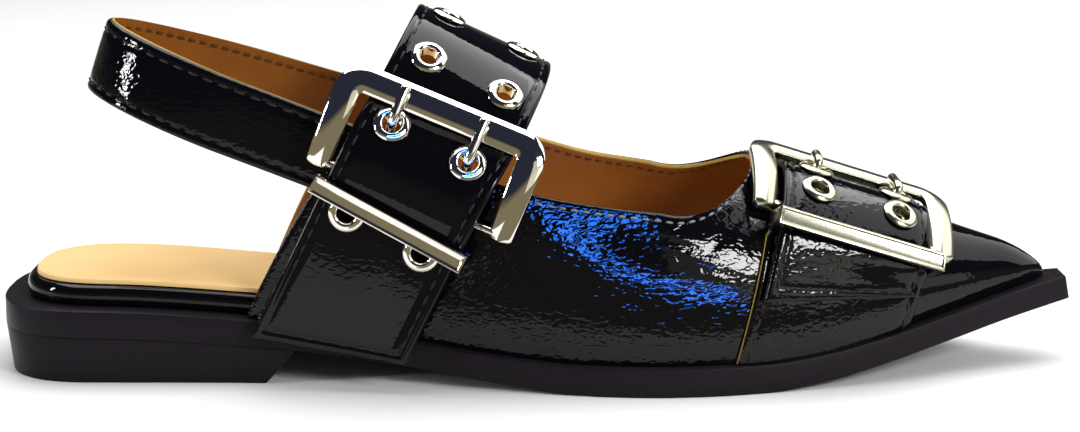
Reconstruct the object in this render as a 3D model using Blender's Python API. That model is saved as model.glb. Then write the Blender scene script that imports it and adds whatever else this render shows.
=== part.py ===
# Right slingback flat with two buckled straps.
# Stations run along the shoe from the back of the heel, in millimetres.
# The lateral side is -1 (minus Y) and the medial side is +1 (plus Y).
import math

import bmesh
import bpy
import numpy as np

MM = 0.001
GAP = 0.3
LATERAL = -1
MEDIAL = 1

# Sole: half widths from the axis, height of the top face and thickness of the edge
SOLE_COLUMNS = ("station", "lateral", "medial", "top", "thick")
SOLE_ROWS = [
    (0.0, 28.6, 28.6, 18.6, 6.8),
    (30.0, 28.6, 28.4, 18.2, 6.8),
    (62.0, 28.8, 27.2, 16.3, 6.6),
    (85.0, 29.6, 25.6, 14.0, 6.3),
    (107.0, 32.2, 26.8, 11.0, 6.1),
    (127.0, 36.0, 31.2, 8.5, 6.3),
    (145.0, 39.2, 36.0, 7.1, 6.85),
    (155.0, 40.5, 38.2, 7.0, 7.0),
    (165.0, 41.0, 39.6, 7.0, 7.0),
    (178.0, 39.8, 39.8, 7.0, 7.0),
    (190.0, 37.2, 37.8, 7.0, 7.0),
    (205.0, 32.6, 33.2, 8.2, 6.6),
    (220.0, 27.0, 27.4, 10.8, 6.3),
    (236.0, 20.0, 20.4, 14.3, 6.1),
    (252.0, 12.8, 13.2, 18.0, 6.0),
    (270.5, 4.6, 4.8, 21.7, 5.9),
]
SOLE_END = 270.5
HEEL_ROUND = 26.0
HEEL_POWER = 2.6
HEEL_FIRST_TURN = 14.0
HEEL_STEPS = 6
SOLE_START = 38.0
SOLE_PITCH = 9.0
SOLE_ACROSS = 4
SLOPE_STEP = 0.5

# Heel block: its front face slopes forward towards the top
HEEL_FRONT_BOTTOM = 68.5
HEEL_FRONT_TOP = 76.0
HEEL_TAPER = 1.2
HEEL_HOLLOW = 2.0
HEEL_HOLLOW_POWER = 6
HEEL_SIDE_SHARES = [0.5, 0.66, 0.83, 1.0]
HEEL_ACROSS = 6

# Footbed and the sheet on it
BOARD_END = 257.0
BOARD_ROWS = [(0.0, 4.7), (80.0, 4.7), (140.0, 2.6), (270.0, 2.4)]
BOARD_ROLL_COLUMNS = ("inset", "share of height")
BOARD_ROLL_ROWS = [(0.6, 0.0), (0.0, 0.35), (0.3, 0.75), (1.5, 1.0)]
FOOTBED_HEEL_STEPS = 5
FOOTBED_START = 44.0
FOOTBED_PITCH = 12.0
FOOTBED_ACROSS = 4
SOCK_THICK = 1.2
SOCK_INSET = 2.4

# Last: ridge line, swell of the side and the shares that shape each section
LAST_COLUMNS = ("station", "ridge", "ridge_shift", "swell", "side_share", "crown_share")
LAST_ROWS = [
    (55.0, 110.0, 0.0, 3.5, 0.62, 0.70),
    (90.0, 95.6, 1.0, 4.0, 0.66, 0.72),
    (106.0, 88.2, 2.0, 4.2, 0.70, 0.74),
    (123.0, 80.2, 3.0, 4.5, 0.72, 0.74),
    (140.0, 72.2, 4.0, 5.0, 0.72, 0.72),
    (165.0, 61.0, 5.0, 5.5, 0.70, 0.66),
    (190.5, 51.8, 4.5, 5.0, 0.66, 0.60),
    (205.0, 47.0, 3.5, 4.6, 0.64, 0.58),
    (220.0, 42.2, 2.5, 4.2, 0.64, 0.58),
    (242.0, 34.4, 1.0, 3.2, 0.64, 0.58),
    (254.0, 30.5, 0.4, 2.4, 0.64, 0.58),
    (270.0, 25.4, 0.0, 1.6, 0.64, 0.58),
]
INSET_ROWS = [(0.0, 3.0), (200.0, 3.0), (240.0, 3.6), (262.0, 4.6), (270.0, 5.0)]
UPPER_TIP = 265.7
TIP_ROUND = 8.0
CAP_LENGTH = 13.7
CAP_POWER = 2.5
WALL = 1.8

# Top edge of the upper: height on each side, then the turn across the throat
TOPLINE_COLUMNS = ("station", "lateral", "medial")
TOPLINE_ROWS = [
    (92.0, 62.0, 66.8),
    (110.0, 56.0, 60.5),
    (134.0, 48.2, 52.5),
    (150.0, 45.6, 47.6),
    (166.0, 43.6, 45.0),
]
QUARTER_FOOT = 64.0
QUARTER_TOP = 92.0
TURN_TOP = 166.0
TURN_FOOT = 158.0
THROAT = 190.5
THROAT_FOOT = 186.0
OPEN_STEPS = 11
THROAT_STEPS = 7
VAMP_STEPS = 7
TOE_STEPS = 6
WALL_STEPS = 8

# Sling band: mid line from the back of the heel to the lap inside each quarter
SLING_BACK = 24.5
SLING_BACK_HEIGHT = 78.7
SLING_SIDE = 60.0
SLING_LAP = 98.0
SLING_DROP = {LATERAL: 0.375, MEDIAL: 0.285}
SLING_LEAN = math.radians(19.0)
SLING_HALF = 9.0
SLING_THICK = 1.8
SLING_PLACES = (-1.0, -0.33, 0.33, 1.0)
SLING_TURN_STEPS = 8
SLING_SIDE_STEPS = 5

# Straps: each is cut from the last between two leaning planes
STRAP_HALF = 18.8
STRAP_THICK = 1.8
TAB_LIFT = 0.3
TAB_THICK = 1.2
TAB_OVER_PIN = 0.5
TAB_STEPS = 8
TAB_NECK_ROWS = 2
TAB_NECK_EXTRA = -0.4
ACROSS_STEPS = 6
LIFT_COLUMNS = ("from_pin", "lift")
LIFT_ROWS = [
    (-24.0, 2.4),
    (-16.0, 2.8),
    (-7.0, 4.4),
    (0.0, 5.3),
    (8.0, 4.8),
    (13.0, 3.4),
    (17.0, 1.3),
    (20.5, 0.5),
    (26.0, 0.4),
]
STRAPS = {
    "instep": {
        "station": 104.0, "height": 48.0, "lean": math.radians(26.0), "sway": 0.04, "tab_extra": -0.4,
        "end_rear": 12.9, "end_front": 7.7, "hangs": True, "low": -4.0, "rows": (-10.0, 13.0, 31.5, 54.0),
        "medial_steps": 12, "keeper_at": -7.0, "frame_turn": math.radians(-4.5), "frame_shift": 1.2,
        "pin_lift": 3.1, "bar_lift": 5.1, "prong_past_bar": 2.2, "bar_inner_extra": 0.7,
    },
    "vamp": {
        "station": 212.0, "height": 36.0, "lean": math.radians(17.0), "sway": -0.06, "tab_extra": 1.6,
        "end_rear": 22.6, "end_front": 20.6, "hangs": False, "low": -8.0, "rows": (4.5, 12.6),
        "medial_steps": 8, "keeper_at": -5.2, "frame_turn": math.radians(-5.0), "frame_shift": 0.4,
        "pin_lift": 3.55, "bar_lift": 5.6, "prong_past_bar": -1.2, "bar_inner_extra": 0.3,
    },
}
STRAP_PITCH = 4.0
END_STEPS = 4
BAND_SAMPLES = 61

# Buckles
PIN_RADIUS = 0.9
BAR_AT = 22.6
BAR_WIDE = 6.0
BAR_THICK = 2.6
BAR_BEVEL = 0.9
ARM_AT_BAR = 24.2
ARM_AT_PIN = 23.8
ARM_TAIL = 1.6
ARM_END = 1.2
ARM_END_SHARE = 0.55
CORNER = 4.5
FRAME_BOW = 1.6
ARM_STEPS = 3
CORNER_STEPS = 3
PRONG_RADIUS = 1.25
PRONG_SIDES = 8
EYELET_PAIR = 10.4
ENGAGED_ROW = 1
PRONG_COLUMNS = ("along", "height")
PRONG_ROWS = [(-2.8, -3.7), (-0.4, -2.7), (0.0, 0.0), (0.2, 2.7)]

# Keepers
KEEPER_SIDE = 0.5
KEEPER_WIDE = 4.6
KEEPER_THICK = 1.4
KEEPER_LEG = 1.9
KEEPER_FOOT = 3.0
KEEPER_CLEAR = 1.7

# Eyelets
EYELET_SIDES = 12
HOLE_RADIUS = 3.05
EYELET_COLUMNS = ("radius", "height")
EYELET_ROWS = [(2.3, -2.0), (2.3, 0.8), (3.2, 1.3), (4.5, 0.6), (4.5, 0.25), (2.7, 0.25), (2.7, -2.0)]
CUTTER_REACH = 6.0

# Colours
BLACK_PATENT = (0.012, 0.012, 0.014, 1.0)
BLACK_SOLE = (0.018, 0.016, 0.018, 1.0)
PALE_TAN = (0.72, 0.50, 0.33, 1.0)
CHROME = (0.78, 0.76, 0.72, 1.0)


def curve(rows, column):
    """Smooth line through one column of a table, without overshoot."""
    at = [row[0] for row in rows]
    value = [row[column] for row in rows]
    slope = [(value[i + 1] - value[i]) / (at[i + 1] - at[i]) for i in range(len(at) - 1)]
    tangent = [slope[0]]
    for before, after in zip(slope, slope[1:]):
        tangent.append(2 * before * after / (before + after) if before * after > 0 else 0.0)
    tangent.append(slope[-1])

    def reading(x):
        if x <= at[0]:
            return value[0]
        if x >= at[-1]:
            return value[-1]
        i = max(k for k in range(len(at) - 1) if at[k] <= x)
        span = at[i + 1] - at[i]
        t = (x - at[i]) / span
        start = (1 + 2 * t) * (1 - t) ** 2 * value[i] + t * (1 - t) ** 2 * span * tangent[i]
        end = t * t * (3 - 2 * t) * value[i + 1] - t * t * (1 - t) * span * tangent[i + 1]
        return start + end

    return reading


sole_half = {LATERAL: curve(SOLE_ROWS, 1), MEDIAL: curve(SOLE_ROWS, 2)}
sole_top = curve(SOLE_ROWS, 3)
sole_thick = curve(SOLE_ROWS, 4)
board_thick = curve(BOARD_ROWS, 1)
ridge_height = curve(LAST_ROWS, 1)
ridge_shift = curve(LAST_ROWS, 2)
side_swell = curve(LAST_ROWS, 3)
side_share = curve(LAST_ROWS, 4)
crown_share = curve(LAST_ROWS, 5)
upper_inset = curve(INSET_ROWS, 1)
topline = {LATERAL: curve(TOPLINE_ROWS, 1), MEDIAL: curve(TOPLINE_ROWS, 2)}
strap_lift = curve(LIFT_ROWS, 1)


def unit(vector):
    return vector / np.linalg.norm(vector)


def mix(a, b, t):
    return a + (b - a) * t


def add_material(name, colour, metallic, roughness):
    material = bpy.data.materials.new(name)
    material.use_nodes = True
    shader = material.node_tree.nodes["Principled BSDF"]
    shader.inputs["Base Color"].default_value = colour
    shader.inputs["Metallic"].default_value = metallic
    shader.inputs["Roughness"].default_value = roughness
    return material


def add_object(name, faces, colour, metallic=0.0, roughness=0.3):
    """Object from faces given as lists of points in millimetres."""
    build = bmesh.new()
    for points in faces:
        build.faces.new([build.verts.new(np.asarray(p) * MM) for p in points])
    bmesh.ops.remove_doubles(build, verts=build.verts, dist=0.000001)
    bmesh.ops.dissolve_degenerate(build, edges=build.edges, dist=0.000001)
    bmesh.ops.triangulate(build, faces=build.faces)
    bmesh.ops.recalc_face_normals(build, faces=build.faces)
    mesh = bpy.data.meshes.new(name)
    build.to_mesh(mesh)
    build.free()
    piece = bpy.data.objects.new(name, mesh)
    bpy.context.scene.collection.objects.link(piece)
    mesh.materials.append(add_material(name, colour, metallic, roughness))
    return piece


def sheet_faces(grid):
    faces = []
    for row, following in zip(grid, grid[1:]):
        for k in range(len(row) - 1):
            faces.append([row[k], row[k + 1], following[k + 1], following[k]])
    return faces


def edge_loop(grid):
    loop = list(grid[0])
    loop += [row[-1] for row in grid[1:]]
    loop += list(reversed(grid[-1][:-1]))
    loop += [row[0] for row in reversed(grid[1:-1])]
    return loop


def stack_faces(layers):
    """Closed body: a cap, rings of edge and another cap."""
    faces = sheet_faces(layers[0]) + sheet_faces(layers[-1])
    for lower, upper in zip(layers, layers[1:]):
        under = edge_loop(lower)
        over = edge_loop(upper)
        for k in range(len(under)):
            n = (k + 1) % len(under)
            faces.append([under[k], under[n], over[n], over[k]])
    return faces


def heel_turn(station, inset):
    """Share of the full half width near the rounded back of the heel."""
    reach = HEEL_ROUND - 0.5 * inset
    back = min(1.0, max(0.0, (station - inset) / reach))
    return (1 - (1 - back) ** HEEL_POWER) ** (1 / HEEL_POWER)


def heel_stations(inset, steps):
    """Stations gathered towards the back of the heel."""
    reach = HEEL_ROUND - 0.5 * inset
    turns = [math.radians(mix(HEEL_FIRST_TURN, 90.0, k / steps)) for k in range(steps + 1)]
    return [inset + reach * (1 - math.cos(turn) ** (2 / HEEL_POWER)) for turn in turns]


def plan_row(station, inset, height, steps, back_inset=None):
    """Points across the sole at one station."""
    back = inset if back_inset is None else back_inset
    turn = heel_turn(station, back)
    left = -(sole_half[LATERAL](station) - inset) * turn
    right = (sole_half[MEDIAL](station) - inset) * turn
    return [np.array([station, mix(left, right, k / steps), height]) for k in range(steps + 1)]


def sole_slope(station):
    ahead = min(station + SLOPE_STEP, SOLE_END)
    behind = max(station - SLOPE_STEP, 0.0)
    return math.atan((sole_top(ahead) - sole_top(behind)) / (ahead - behind))


def sole_under(station):
    """Height of the bottom of the outsole below a station."""
    return sole_top(station) - sole_thick(station) * math.cos(sole_slope(station))


def make_outsole():
    stations = heel_stations(0.0, HEEL_STEPS)
    stations += list(np.arange(SOLE_START, SOLE_END - SOLE_PITCH / 2, SOLE_PITCH)) + [SOLE_END]
    top = [plan_row(s, 0.0, sole_top(s), SOLE_ACROSS) for s in stations]
    bottom = []
    for s, row in zip(stations, top):
        slope = sole_slope(s)
        drop = np.array([math.sin(slope), 0.0, -math.cos(slope)]) * sole_thick(s)
        bottom.append([point + drop for point in row])
    return add_object("outsole", stack_faces([bottom, top]), BLACK_SOLE, roughness=0.4)


def make_heel():
    shares = [s / HEEL_FRONT_TOP for s in heel_stations(0.0, HEEL_STEPS)] + HEEL_SIDE_SHARES
    top = []
    bottom = []
    for share in shares:
        upper_row = plan_row(share * HEEL_FRONT_TOP, 0.0, 0.0, HEEL_ACROSS)
        for point in upper_row:
            half = sole_half[LATERAL](point[0])
            hollow = HEEL_HOLLOW * (1 - (point[1] / half) ** 2) * share ** HEEL_HOLLOW_POWER
            point[0] -= hollow
            point[2] = sole_under(point[0]) - GAP
        top.append(upper_row)
        lower_row = []
        for point in upper_row:
            front = mix(point[0] + HEEL_TAPER, point[0] - (HEEL_FRONT_TOP - HEEL_FRONT_BOTTOM), share ** 2)
            inward = 1 - HEEL_TAPER / sole_half[LATERAL](point[0])
            lower_row.append(np.array([front, point[1] * inward, 0.0]))
        bottom.append(lower_row)
    return add_object("heel", stack_faces([bottom, top]), BLACK_SOLE, roughness=0.4)


def footbed_inset(station):
    return upper_inset(station) + WALL + 2 * GAP


def footbed_stations(inset, end):
    middle = np.arange(FOOTBED_START, end - FOOTBED_PITCH / 2, FOOTBED_PITCH)
    return heel_stations(inset, FOOTBED_HEEL_STEPS) + list(middle) + [end]


def footbed_layer(extra, height):
    back = footbed_inset(0.0) + extra
    stations = footbed_stations(back, BOARD_END - extra)
    return [plan_row(s, footbed_inset(s) + extra, height(s), FOOTBED_ACROSS, back) for s in stations]


def board_bottom(station):
    return sole_top(station) + GAP


def board_top(station):
    return board_bottom(station) + board_thick(station)


def make_insole_board():
    layers = []
    for inset, share in BOARD_ROLL_ROWS:
        layers.append(footbed_layer(inset, lambda s: mix(board_bottom(s), board_top(s), share)))
    return add_object("insole_board", stack_faces(layers), BLACK_PATENT, roughness=0.2)


def make_insole_sock():
    layers = [
        footbed_layer(SOCK_INSET, lambda s: board_top(s) + GAP),
        footbed_layer(SOCK_INSET, lambda s: board_top(s) + GAP + SOCK_THICK),
    ]
    return add_object("insole_sock", stack_faces(layers), PALE_TAN, roughness=0.6)


def feather(side, station):
    """Half width of the upper where it meets the sole."""
    half = sole_half[side](station) - upper_inset(station)
    past = max(0.0, (station - UPPER_TIP + TIP_ROUND) / TIP_ROUND)
    return half * math.sqrt(max(0.0, 1 - past * past))


def last_point(side, station, rise):
    """Outside of the upper: rise 0 is at the sole and rise 1 on the ridge."""
    base = sole_top(station) + GAP
    past = max(0.0, (station - UPPER_TIP + CAP_LENGTH) / CAP_LENGTH)
    cap = max(0.0, 1 - past ** CAP_POWER) ** (1 / CAP_POWER)
    height = (ridge_height(station) - base) * cap
    foot = feather(side, station)
    middle = side * ridge_shift(station) * cap
    swell = side_swell(station) * cap
    across = (foot, foot + swell, mix(middle, foot, crown_share(station)), middle)
    up = (0.0, side_share(station) * height, height, height)
    back = 1 - rise
    weight = (back ** 3, 3 * back * back * rise, 3 * back * rise * rise, rise ** 3)
    y = side * sum(w * a for w, a in zip(weight, across))
    z = base + sum(w * u for w, u in zip(weight, up))
    return np.array([station, y, z])


def last_normal(side, station, rise):
    """Outward direction of the last."""
    station = min(station, UPPER_TIP - 0.15)
    step = 0.1
    along = last_point(side, station + step, rise) - last_point(side, station - step, rise)
    if rise >= 1.0:
        return unit(np.array([-along[2], 0.0, along[0]]))
    low = max(0.0, rise - 0.01)
    high = min(1.0, rise + 0.01)
    upward = last_point(side, station, high) - last_point(side, station, low)
    return unit(np.cross(along, upward)) * -side


def rise_at(side, station, height):
    low, high = 0.0, 1.0
    for _ in range(30):
        middle = (low + high) / 2
        if last_point(side, station, middle)[2] < height:
            low = middle
        else:
            high = middle
    return low


def wall_ends(side):
    """Each line up the wall: station at the foot, station and rise at the top."""
    lines = []
    for k in range(OPEN_STEPS):
        share = k / OPEN_STEPS
        top = mix(QUARTER_TOP, TURN_TOP, share)
        lines.append((mix(QUARTER_FOOT, TURN_FOOT, share), top, rise_at(side, top, topline[side](top))))
    turn_rise = rise_at(side, TURN_TOP, topline[side](TURN_TOP))
    for k in range(THROAT_STEPS):
        share = k / THROAT_STEPS
        turn = share * math.pi / 2
        top = mix(TURN_TOP, THROAT, math.sin(turn))
        lines.append((mix(TURN_FOOT, THROAT_FOOT, share), top, mix(turn_rise, 1.0, 1 - math.cos(turn))))
    toe_start = UPPER_TIP - CAP_LENGTH
    for k in range(VAMP_STEPS):
        share = k / VAMP_STEPS
        lines.append((mix(THROAT_FOOT, toe_start, share), mix(THROAT, toe_start, share), 1.0))
    for k in range(TOE_STEPS + 1):
        station = toe_start + CAP_LENGTH * math.sin(k / TOE_STEPS * math.pi / 2)
        lines.append((station, station, 1.0))
    return lines


def wall_grids(side):
    """Outside and inside of one half of the upper."""
    outside = []
    inside = []
    for foot, top, top_rise in wall_ends(side):
        outer_row = []
        inner_row = []
        for k in range(WALL_STEPS + 1):
            share = k / WALL_STEPS
            station = mix(foot, top, share)
            rise = top_rise * share
            point = last_point(side, station, rise)
            normal = last_normal(side, station, rise)
            if foot >= UPPER_TIP:
                normal = np.array([1.0, 0.0, 0.0])
            if k == 0:
                normal = unit(normal * np.array([1.0, 1.0, 0.0]))
            inner = point - normal * WALL
            if k == 0:
                inner[2] = sole_top(inner[0]) + GAP
            outer_row.append(point)
            inner_row.append(inner)
        outside.append(outer_row)
        inside.append(inner_row)
    return outside, inside


def make_upper():
    faces = []
    for side in (LATERAL, MEDIAL):
        outside, inside = wall_grids(side)
        faces += sheet_faces(outside) + sheet_faces(inside)
        for k in range(len(outside) - 1):
            faces.append([outside[k][0], outside[k + 1][0], inside[k + 1][0], inside[k][0]])
        for k in range(OPEN_STEPS + THROAT_STEPS):
            faces.append([outside[k][-1], outside[k + 1][-1], inside[k + 1][-1], inside[k][-1]])
        for k in range(WALL_STEPS):
            faces.append([outside[0][k], outside[0][k + 1], inside[0][k + 1], inside[0][k]])
    return add_object("upper", faces, BLACK_PATENT, roughness=0.15)


def sling_middle(side, station):
    return SLING_BACK_HEIGHT - SLING_DROP[side] * (station - SLING_BACK)


def sling_side(side, station, height):
    """Outside of the sling band where it lies along the inside of the quarter."""
    point = last_point(side, station, rise_at(side, station, height))
    return point[1] - side * (WALL + 2 * GAP)


def sling_column(side, station, share, depth):
    """Points up the band at one place; share is 0 at the back and 1 along the side."""
    points = []
    for step in SLING_PLACES:
        x = station + step * SLING_HALF * math.sin(SLING_LEAN)
        z = sling_middle(side, station) + step * SLING_HALF * math.cos(SLING_LEAN)
        wide = abs(sling_side(side, max(SLING_SIDE, station), z))
        turn = share * math.pi / 2
        inward = np.array([math.cos(turn), -side * math.sin(turn), 0.0]) * depth
        points.append(np.array([x, side * wide * math.sin(turn), z]) + inward)
    return points


def sling_grid(depth):
    reach = SLING_SIDE - SLING_BACK
    half = {}
    for side in (LATERAL, MEDIAL):
        columns = []
        for k in range(SLING_SIDE_STEPS):
            station = mix(SLING_LAP, SLING_SIDE, k / SLING_SIDE_STEPS)
            columns.append(sling_column(side, station, 1.0, depth))
        for k in range(SLING_TURN_STEPS):
            share = 1 - k / SLING_TURN_STEPS
            station = SLING_SIDE - reach * math.cos(share * math.pi / 2)
            columns.append(sling_column(side, station, share, depth))
        half[side] = columns
    back = sling_column(LATERAL, SLING_BACK, 0.0, depth)
    return half[LATERAL] + [back] + list(reversed(half[MEDIAL]))


def make_sling_strap():
    return add_object("sling_strap", stack_faces([sling_grid(SLING_THICK), sling_grid(0.0)]), BLACK_PATENT)


def lean_axes(strap):
    """Across the strap and up the strap, seen from the side."""
    lean = STRAPS[strap]["lean"]
    across = np.array([math.cos(lean), 0.0, -math.sin(lean)])
    upward = np.array([math.sin(lean), 0.0, math.cos(lean)])
    return across, upward


def band_base(strap, turn, offset):
    """Point and normal of the last; turn runs -1 lateral, 0 ridge, +1 medial."""
    across, _ = lean_axes(strap)
    row = STRAPS[strap]
    side = LATERAL if turn < 0 else MEDIAL
    rise = 1 - abs(turn)
    station = row["station"]
    for _ in range(14):
        point = last_point(side, station, rise)
        above = point[2] - row["height"]
        error = (station - row["station"]) * across[0] + above * (across[2] - row["sway"]) - offset
        station -= 0.8 * error / across[0]
    normal = last_normal(side, station, rise)
    if rise <= 0.0:
        normal = unit(normal * np.array([1.0, 1.0, 0.0]))
    return last_point(side, station, rise), normal


MEASURES = {}


def measured(strap, offset):
    """One line of the band: turns, distances from the pin, heights and fall, -1 level with the pin."""
    key = (strap, round(offset, 2))
    if key not in MEASURES:
        turns = np.linspace(-1.0, 1.0, BAND_SAMPLES)
        points = np.array([band_base(strap, turn, offset)[0] for turn in turns])
        heights = points[:, 2]
        steps = np.linalg.norm(np.diff(points, axis=0), axis=1)
        run = np.concatenate([[0.0], np.cumsum(steps)])
        lateral = turns < 0
        run = run - np.interp(STRAPS[strap]["height"], heights[lateral], run[lateral])
        _, upward = lean_axes(strap)
        level = points @ upward
        top = np.interp(0.0, turns, level)
        pin_level = STRAPS[strap]["station"] * upward[0] + STRAPS[strap]["height"] * upward[2]
        fall = np.sign(turns) * np.sqrt(np.maximum(0.0, top - level) / (top - pin_level))
        MEASURES[key] = (turns, run, heights, fall)
    return MEASURES[key]


def turn_at(strap, from_pin, offset):
    """Turn on one line of the band, level across the band with a place on its middle line."""
    _, run, _, fall = measured(strap, 0.0)
    turns, _, _, own_fall = measured(strap, offset)
    return float(np.interp(np.interp(from_pin, run, fall), own_fall, turns))


def raised(strap, turn, offset, lift):
    base, normal = band_base(strap, turn, offset)
    return base + normal * lift


def lifted(strap, from_pin, offset, lift):
    return raised(strap, turn_at(strap, from_pin, offset), offset, lift)


def strap_point(strap, from_pin, offset, height):
    """Point of the strap at a height above its inner face; a free end may hang straight."""
    row = STRAPS[strap]
    at = max(from_pin, row["low"]) if row["hangs"] else from_pin
    point = lifted(strap, at, offset, strap_lift(at) + height)
    if at > from_pin:
        _, upward = lean_axes(strap)
        point = point - upward * (at - from_pin)
    return point


def strap_axes(strap, from_pin, offset, height):
    """Point on the strap with its normal, the way across and the way up."""
    point = strap_point(strap, from_pin, offset, height)
    across = strap_point(strap, from_pin, offset + 1, height) - strap_point(strap, from_pin, offset - 1, height)
    upward = strap_point(strap, from_pin + 1, offset, height) - strap_point(strap, from_pin - 1, offset, height)
    across = unit(across)
    normal = unit(np.cross(across, upward))
    return point, normal, across, np.cross(normal, across)


def free_end(strap, offset, height, share):
    """Points from the low row to the free end, on one line of the strap."""
    row = STRAPS[strap]
    end = mix(row["end_rear"], row["end_front"], share)
    low = strap_point(strap, row["low"], offset, height)
    steps = [k / END_STEPS for k in range(END_STEPS + 1)]
    if row["hangs"]:
        _, upward = lean_axes(strap)
        return [low - upward * ((low[2] - end) / upward[2] * step) for step in steps]
    turns, _, heights, _ = measured(strap, offset)
    lateral = turns < 0
    start_turn = turn_at(strap, row["low"], offset)
    end_turn = float(np.interp(end, heights[lateral], turns[lateral]))
    lifts = [strap_lift(mix(row["low"], LIFT_ROWS[0][0], step)) + height for step in steps]
    return [raised(strap, mix(start_turn, end_turn, s), offset, lift) for s, lift in zip(steps, lifts)]


def strap_line(strap, offset, height, share):
    """Points along the strap at one offset, medial end first."""
    row = STRAPS[strap]
    ridge = float(np.interp(0.0, measured(strap, 0.0)[0], measured(strap, 0.0)[1]))
    turns, _, _, fall = measured(strap, offset)
    points = []
    for k in range(row["medial_steps"]):
        turn = np.interp(mix(fall[-1], 0.0, k / row["medial_steps"]), fall, turns)
        points.append(raised(strap, turn, offset, LIFT_ROWS[-1][1] + height))
    count = int((ridge - row["low"]) / STRAP_PITCH)
    for k in range(count):
        points.append(strap_point(strap, mix(ridge, row["low"], k / count), offset, height))
    return points + free_end(strap, offset, height, share)


def strap_grid(strap, height):
    lines = []
    for k in range(ACROSS_STEPS + 1):
        share = k / ACROSS_STEPS
        lines.append(strap_line(strap, mix(-STRAP_HALF, STRAP_HALF, share), height, share))
    return [list(row) for row in zip(*lines)]


def turned_faces(rows, sides, origin, axis, first, second):
    """Ring of faces turned from a profile of radius and height."""
    rings = []
    for k in range(sides):
        angle = 2 * math.pi * k / sides
        out = first * math.cos(angle) + second * math.sin(angle)
        rings.append([origin + out * radius + axis * height for radius, height in rows])
    faces = []
    for k in range(sides):
        here, there = rings[k], rings[(k + 1) % sides]
        for i in range(len(rows)):
            n = (i + 1) % len(rows)
            faces.append([here[i], there[i], there[n], here[n]])
    return faces


def eyelet_places(strap):
    return [(at, offset) for at in STRAPS[strap]["rows"] for offset in (-EYELET_PAIR, EYELET_PAIR)]


def make_eyelets(strap):
    for number, (at, offset) in enumerate(eyelet_places(strap), start=1):
        origin, normal, first, second = strap_axes(strap, at, offset, STRAP_THICK)
        faces = turned_faces(EYELET_ROWS, EYELET_SIDES, origin, normal, first, second)
        add_object(f"{strap}_eyelet_{number}", faces, CHROME, 1.0, 0.15)


def rod_faces(path, radius, sides, turn_axis):
    """Round rod along a path that bends about one axis."""
    rings = []
    for k, point in enumerate(path):
        ahead = unit(path[min(k + 1, len(path) - 1)] - path[max(k - 1, 0)])
        out = unit(np.cross(turn_axis, ahead))
        angles = [2 * math.pi * i / sides for i in range(sides)]
        rings.append([point + (turn_axis * math.cos(a) + out * math.sin(a)) * radius for a in angles])
    faces = [rings[0], rings[-1]]
    for here, there in zip(rings, rings[1:]):
        for i in range(sides):
            n = (i + 1) % sides
            faces.append([here[i], here[n], there[n], there[i]])
    return faces


def cut_holes(piece, strap):
    faces = []
    for at, offset in eyelet_places(strap):
        origin, normal, first, _ = strap_axes(strap, at, offset, STRAP_THICK)
        path = [origin - normal * CUTTER_REACH, origin + normal * CUTTER_REACH]
        faces += rod_faces(path, HOLE_RADIUS, EYELET_SIDES, first)
    cutter = add_object(f"{strap}_hole_cutter", faces, BLACK_PATENT)
    cutter.hide_render = True
    cutter.display_type = "WIRE"
    cut = piece.modifiers.new("holes", "BOOLEAN")
    cut.operation = "DIFFERENCE"
    cut.solver = "EXACT"
    cut.object = cutter


def make_strap(strap):
    layers = [strap_grid(strap, 0.0), strap_grid(strap, STRAP_THICK)]
    piece = add_object(f"{strap}_strap", stack_faces(layers), BLACK_PATENT, roughness=0.15)
    cut_holes(piece, strap)


def tab_grid(strap, lift):
    """Band from the sole to just over the pin, narrower at the pin."""
    grid = []
    for k in range(TAB_STEPS + 1):
        neck = k > TAB_STEPS - TAB_NECK_ROWS
        half = STRAP_HALF + (TAB_NECK_EXTRA if neck else STRAPS[strap]["tab_extra"])
        row = []
        for i in range(ACROSS_STEPS + 1):
            offset = mix(-half, half, i / ACROSS_STEPS)
            turn = mix(-1.0, turn_at(strap, TAB_OVER_PIN, offset), k / TAB_STEPS)
            row.append(raised(strap, turn, offset, lift))
        grid.append(row)
    return grid


def make_tab(strap):
    layers = [tab_grid(strap, TAB_LIFT), tab_grid(strap, TAB_LIFT + TAB_THICK)]
    return add_object(f"{strap}_tab", stack_faces(layers), BLACK_PATENT, roughness=0.15)


def buckle_axes(strap):
    """Origin on the hinge pin, up the frame, across it and out of it."""
    row = STRAPS[strap]
    corners = {}
    for name, at, lift in (("pin", 0.0, row["pin_lift"]), ("bar", BAR_AT, row["bar_lift"])):
        corners[name] = [lifted(strap, at, sign * ARM_AT_PIN, lift) for sign in (-1, 1)]
    origin = (corners["pin"][0] + corners["pin"][1]) / 2
    upward = unit((corners["bar"][0] + corners["bar"][1]) / 2 - origin)
    across = corners["pin"][1] - corners["pin"][0]
    across = unit(across - upward * np.dot(across, upward))
    origin = origin + across * row["frame_shift"]
    turn = row["frame_turn"]
    upward, across = (
        upward * math.cos(turn) + across * math.sin(turn),
        across * math.cos(turn) - upward * math.sin(turn),
    )
    return origin, upward, across, np.cross(across, upward)


def frame_path():
    """Middle line of the frame as places up and across."""
    half = [(-ARM_TAIL, ARM_AT_PIN)]
    for k in range(ARM_STEPS):
        share = k / ARM_STEPS
        half.append((mix(ARM_END - ARM_TAIL, BAR_AT - CORNER, share), mix(ARM_AT_PIN, ARM_AT_BAR, share)))
    for k in range(CORNER_STEPS + 1):
        angle = k / CORNER_STEPS * math.pi / 2
        up = BAR_AT - CORNER + CORNER * math.sin(angle)
        half.append((up, ARM_AT_BAR - CORNER + CORNER * math.cos(angle)))
    return [(up, -over) for up, over in half] + list(reversed(half))


def frame_bow(up):
    """How far the frame arches out between its pin and its bar."""
    return FRAME_BOW * (1 - (2 * up / BAR_AT - 1) ** 2)


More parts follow.
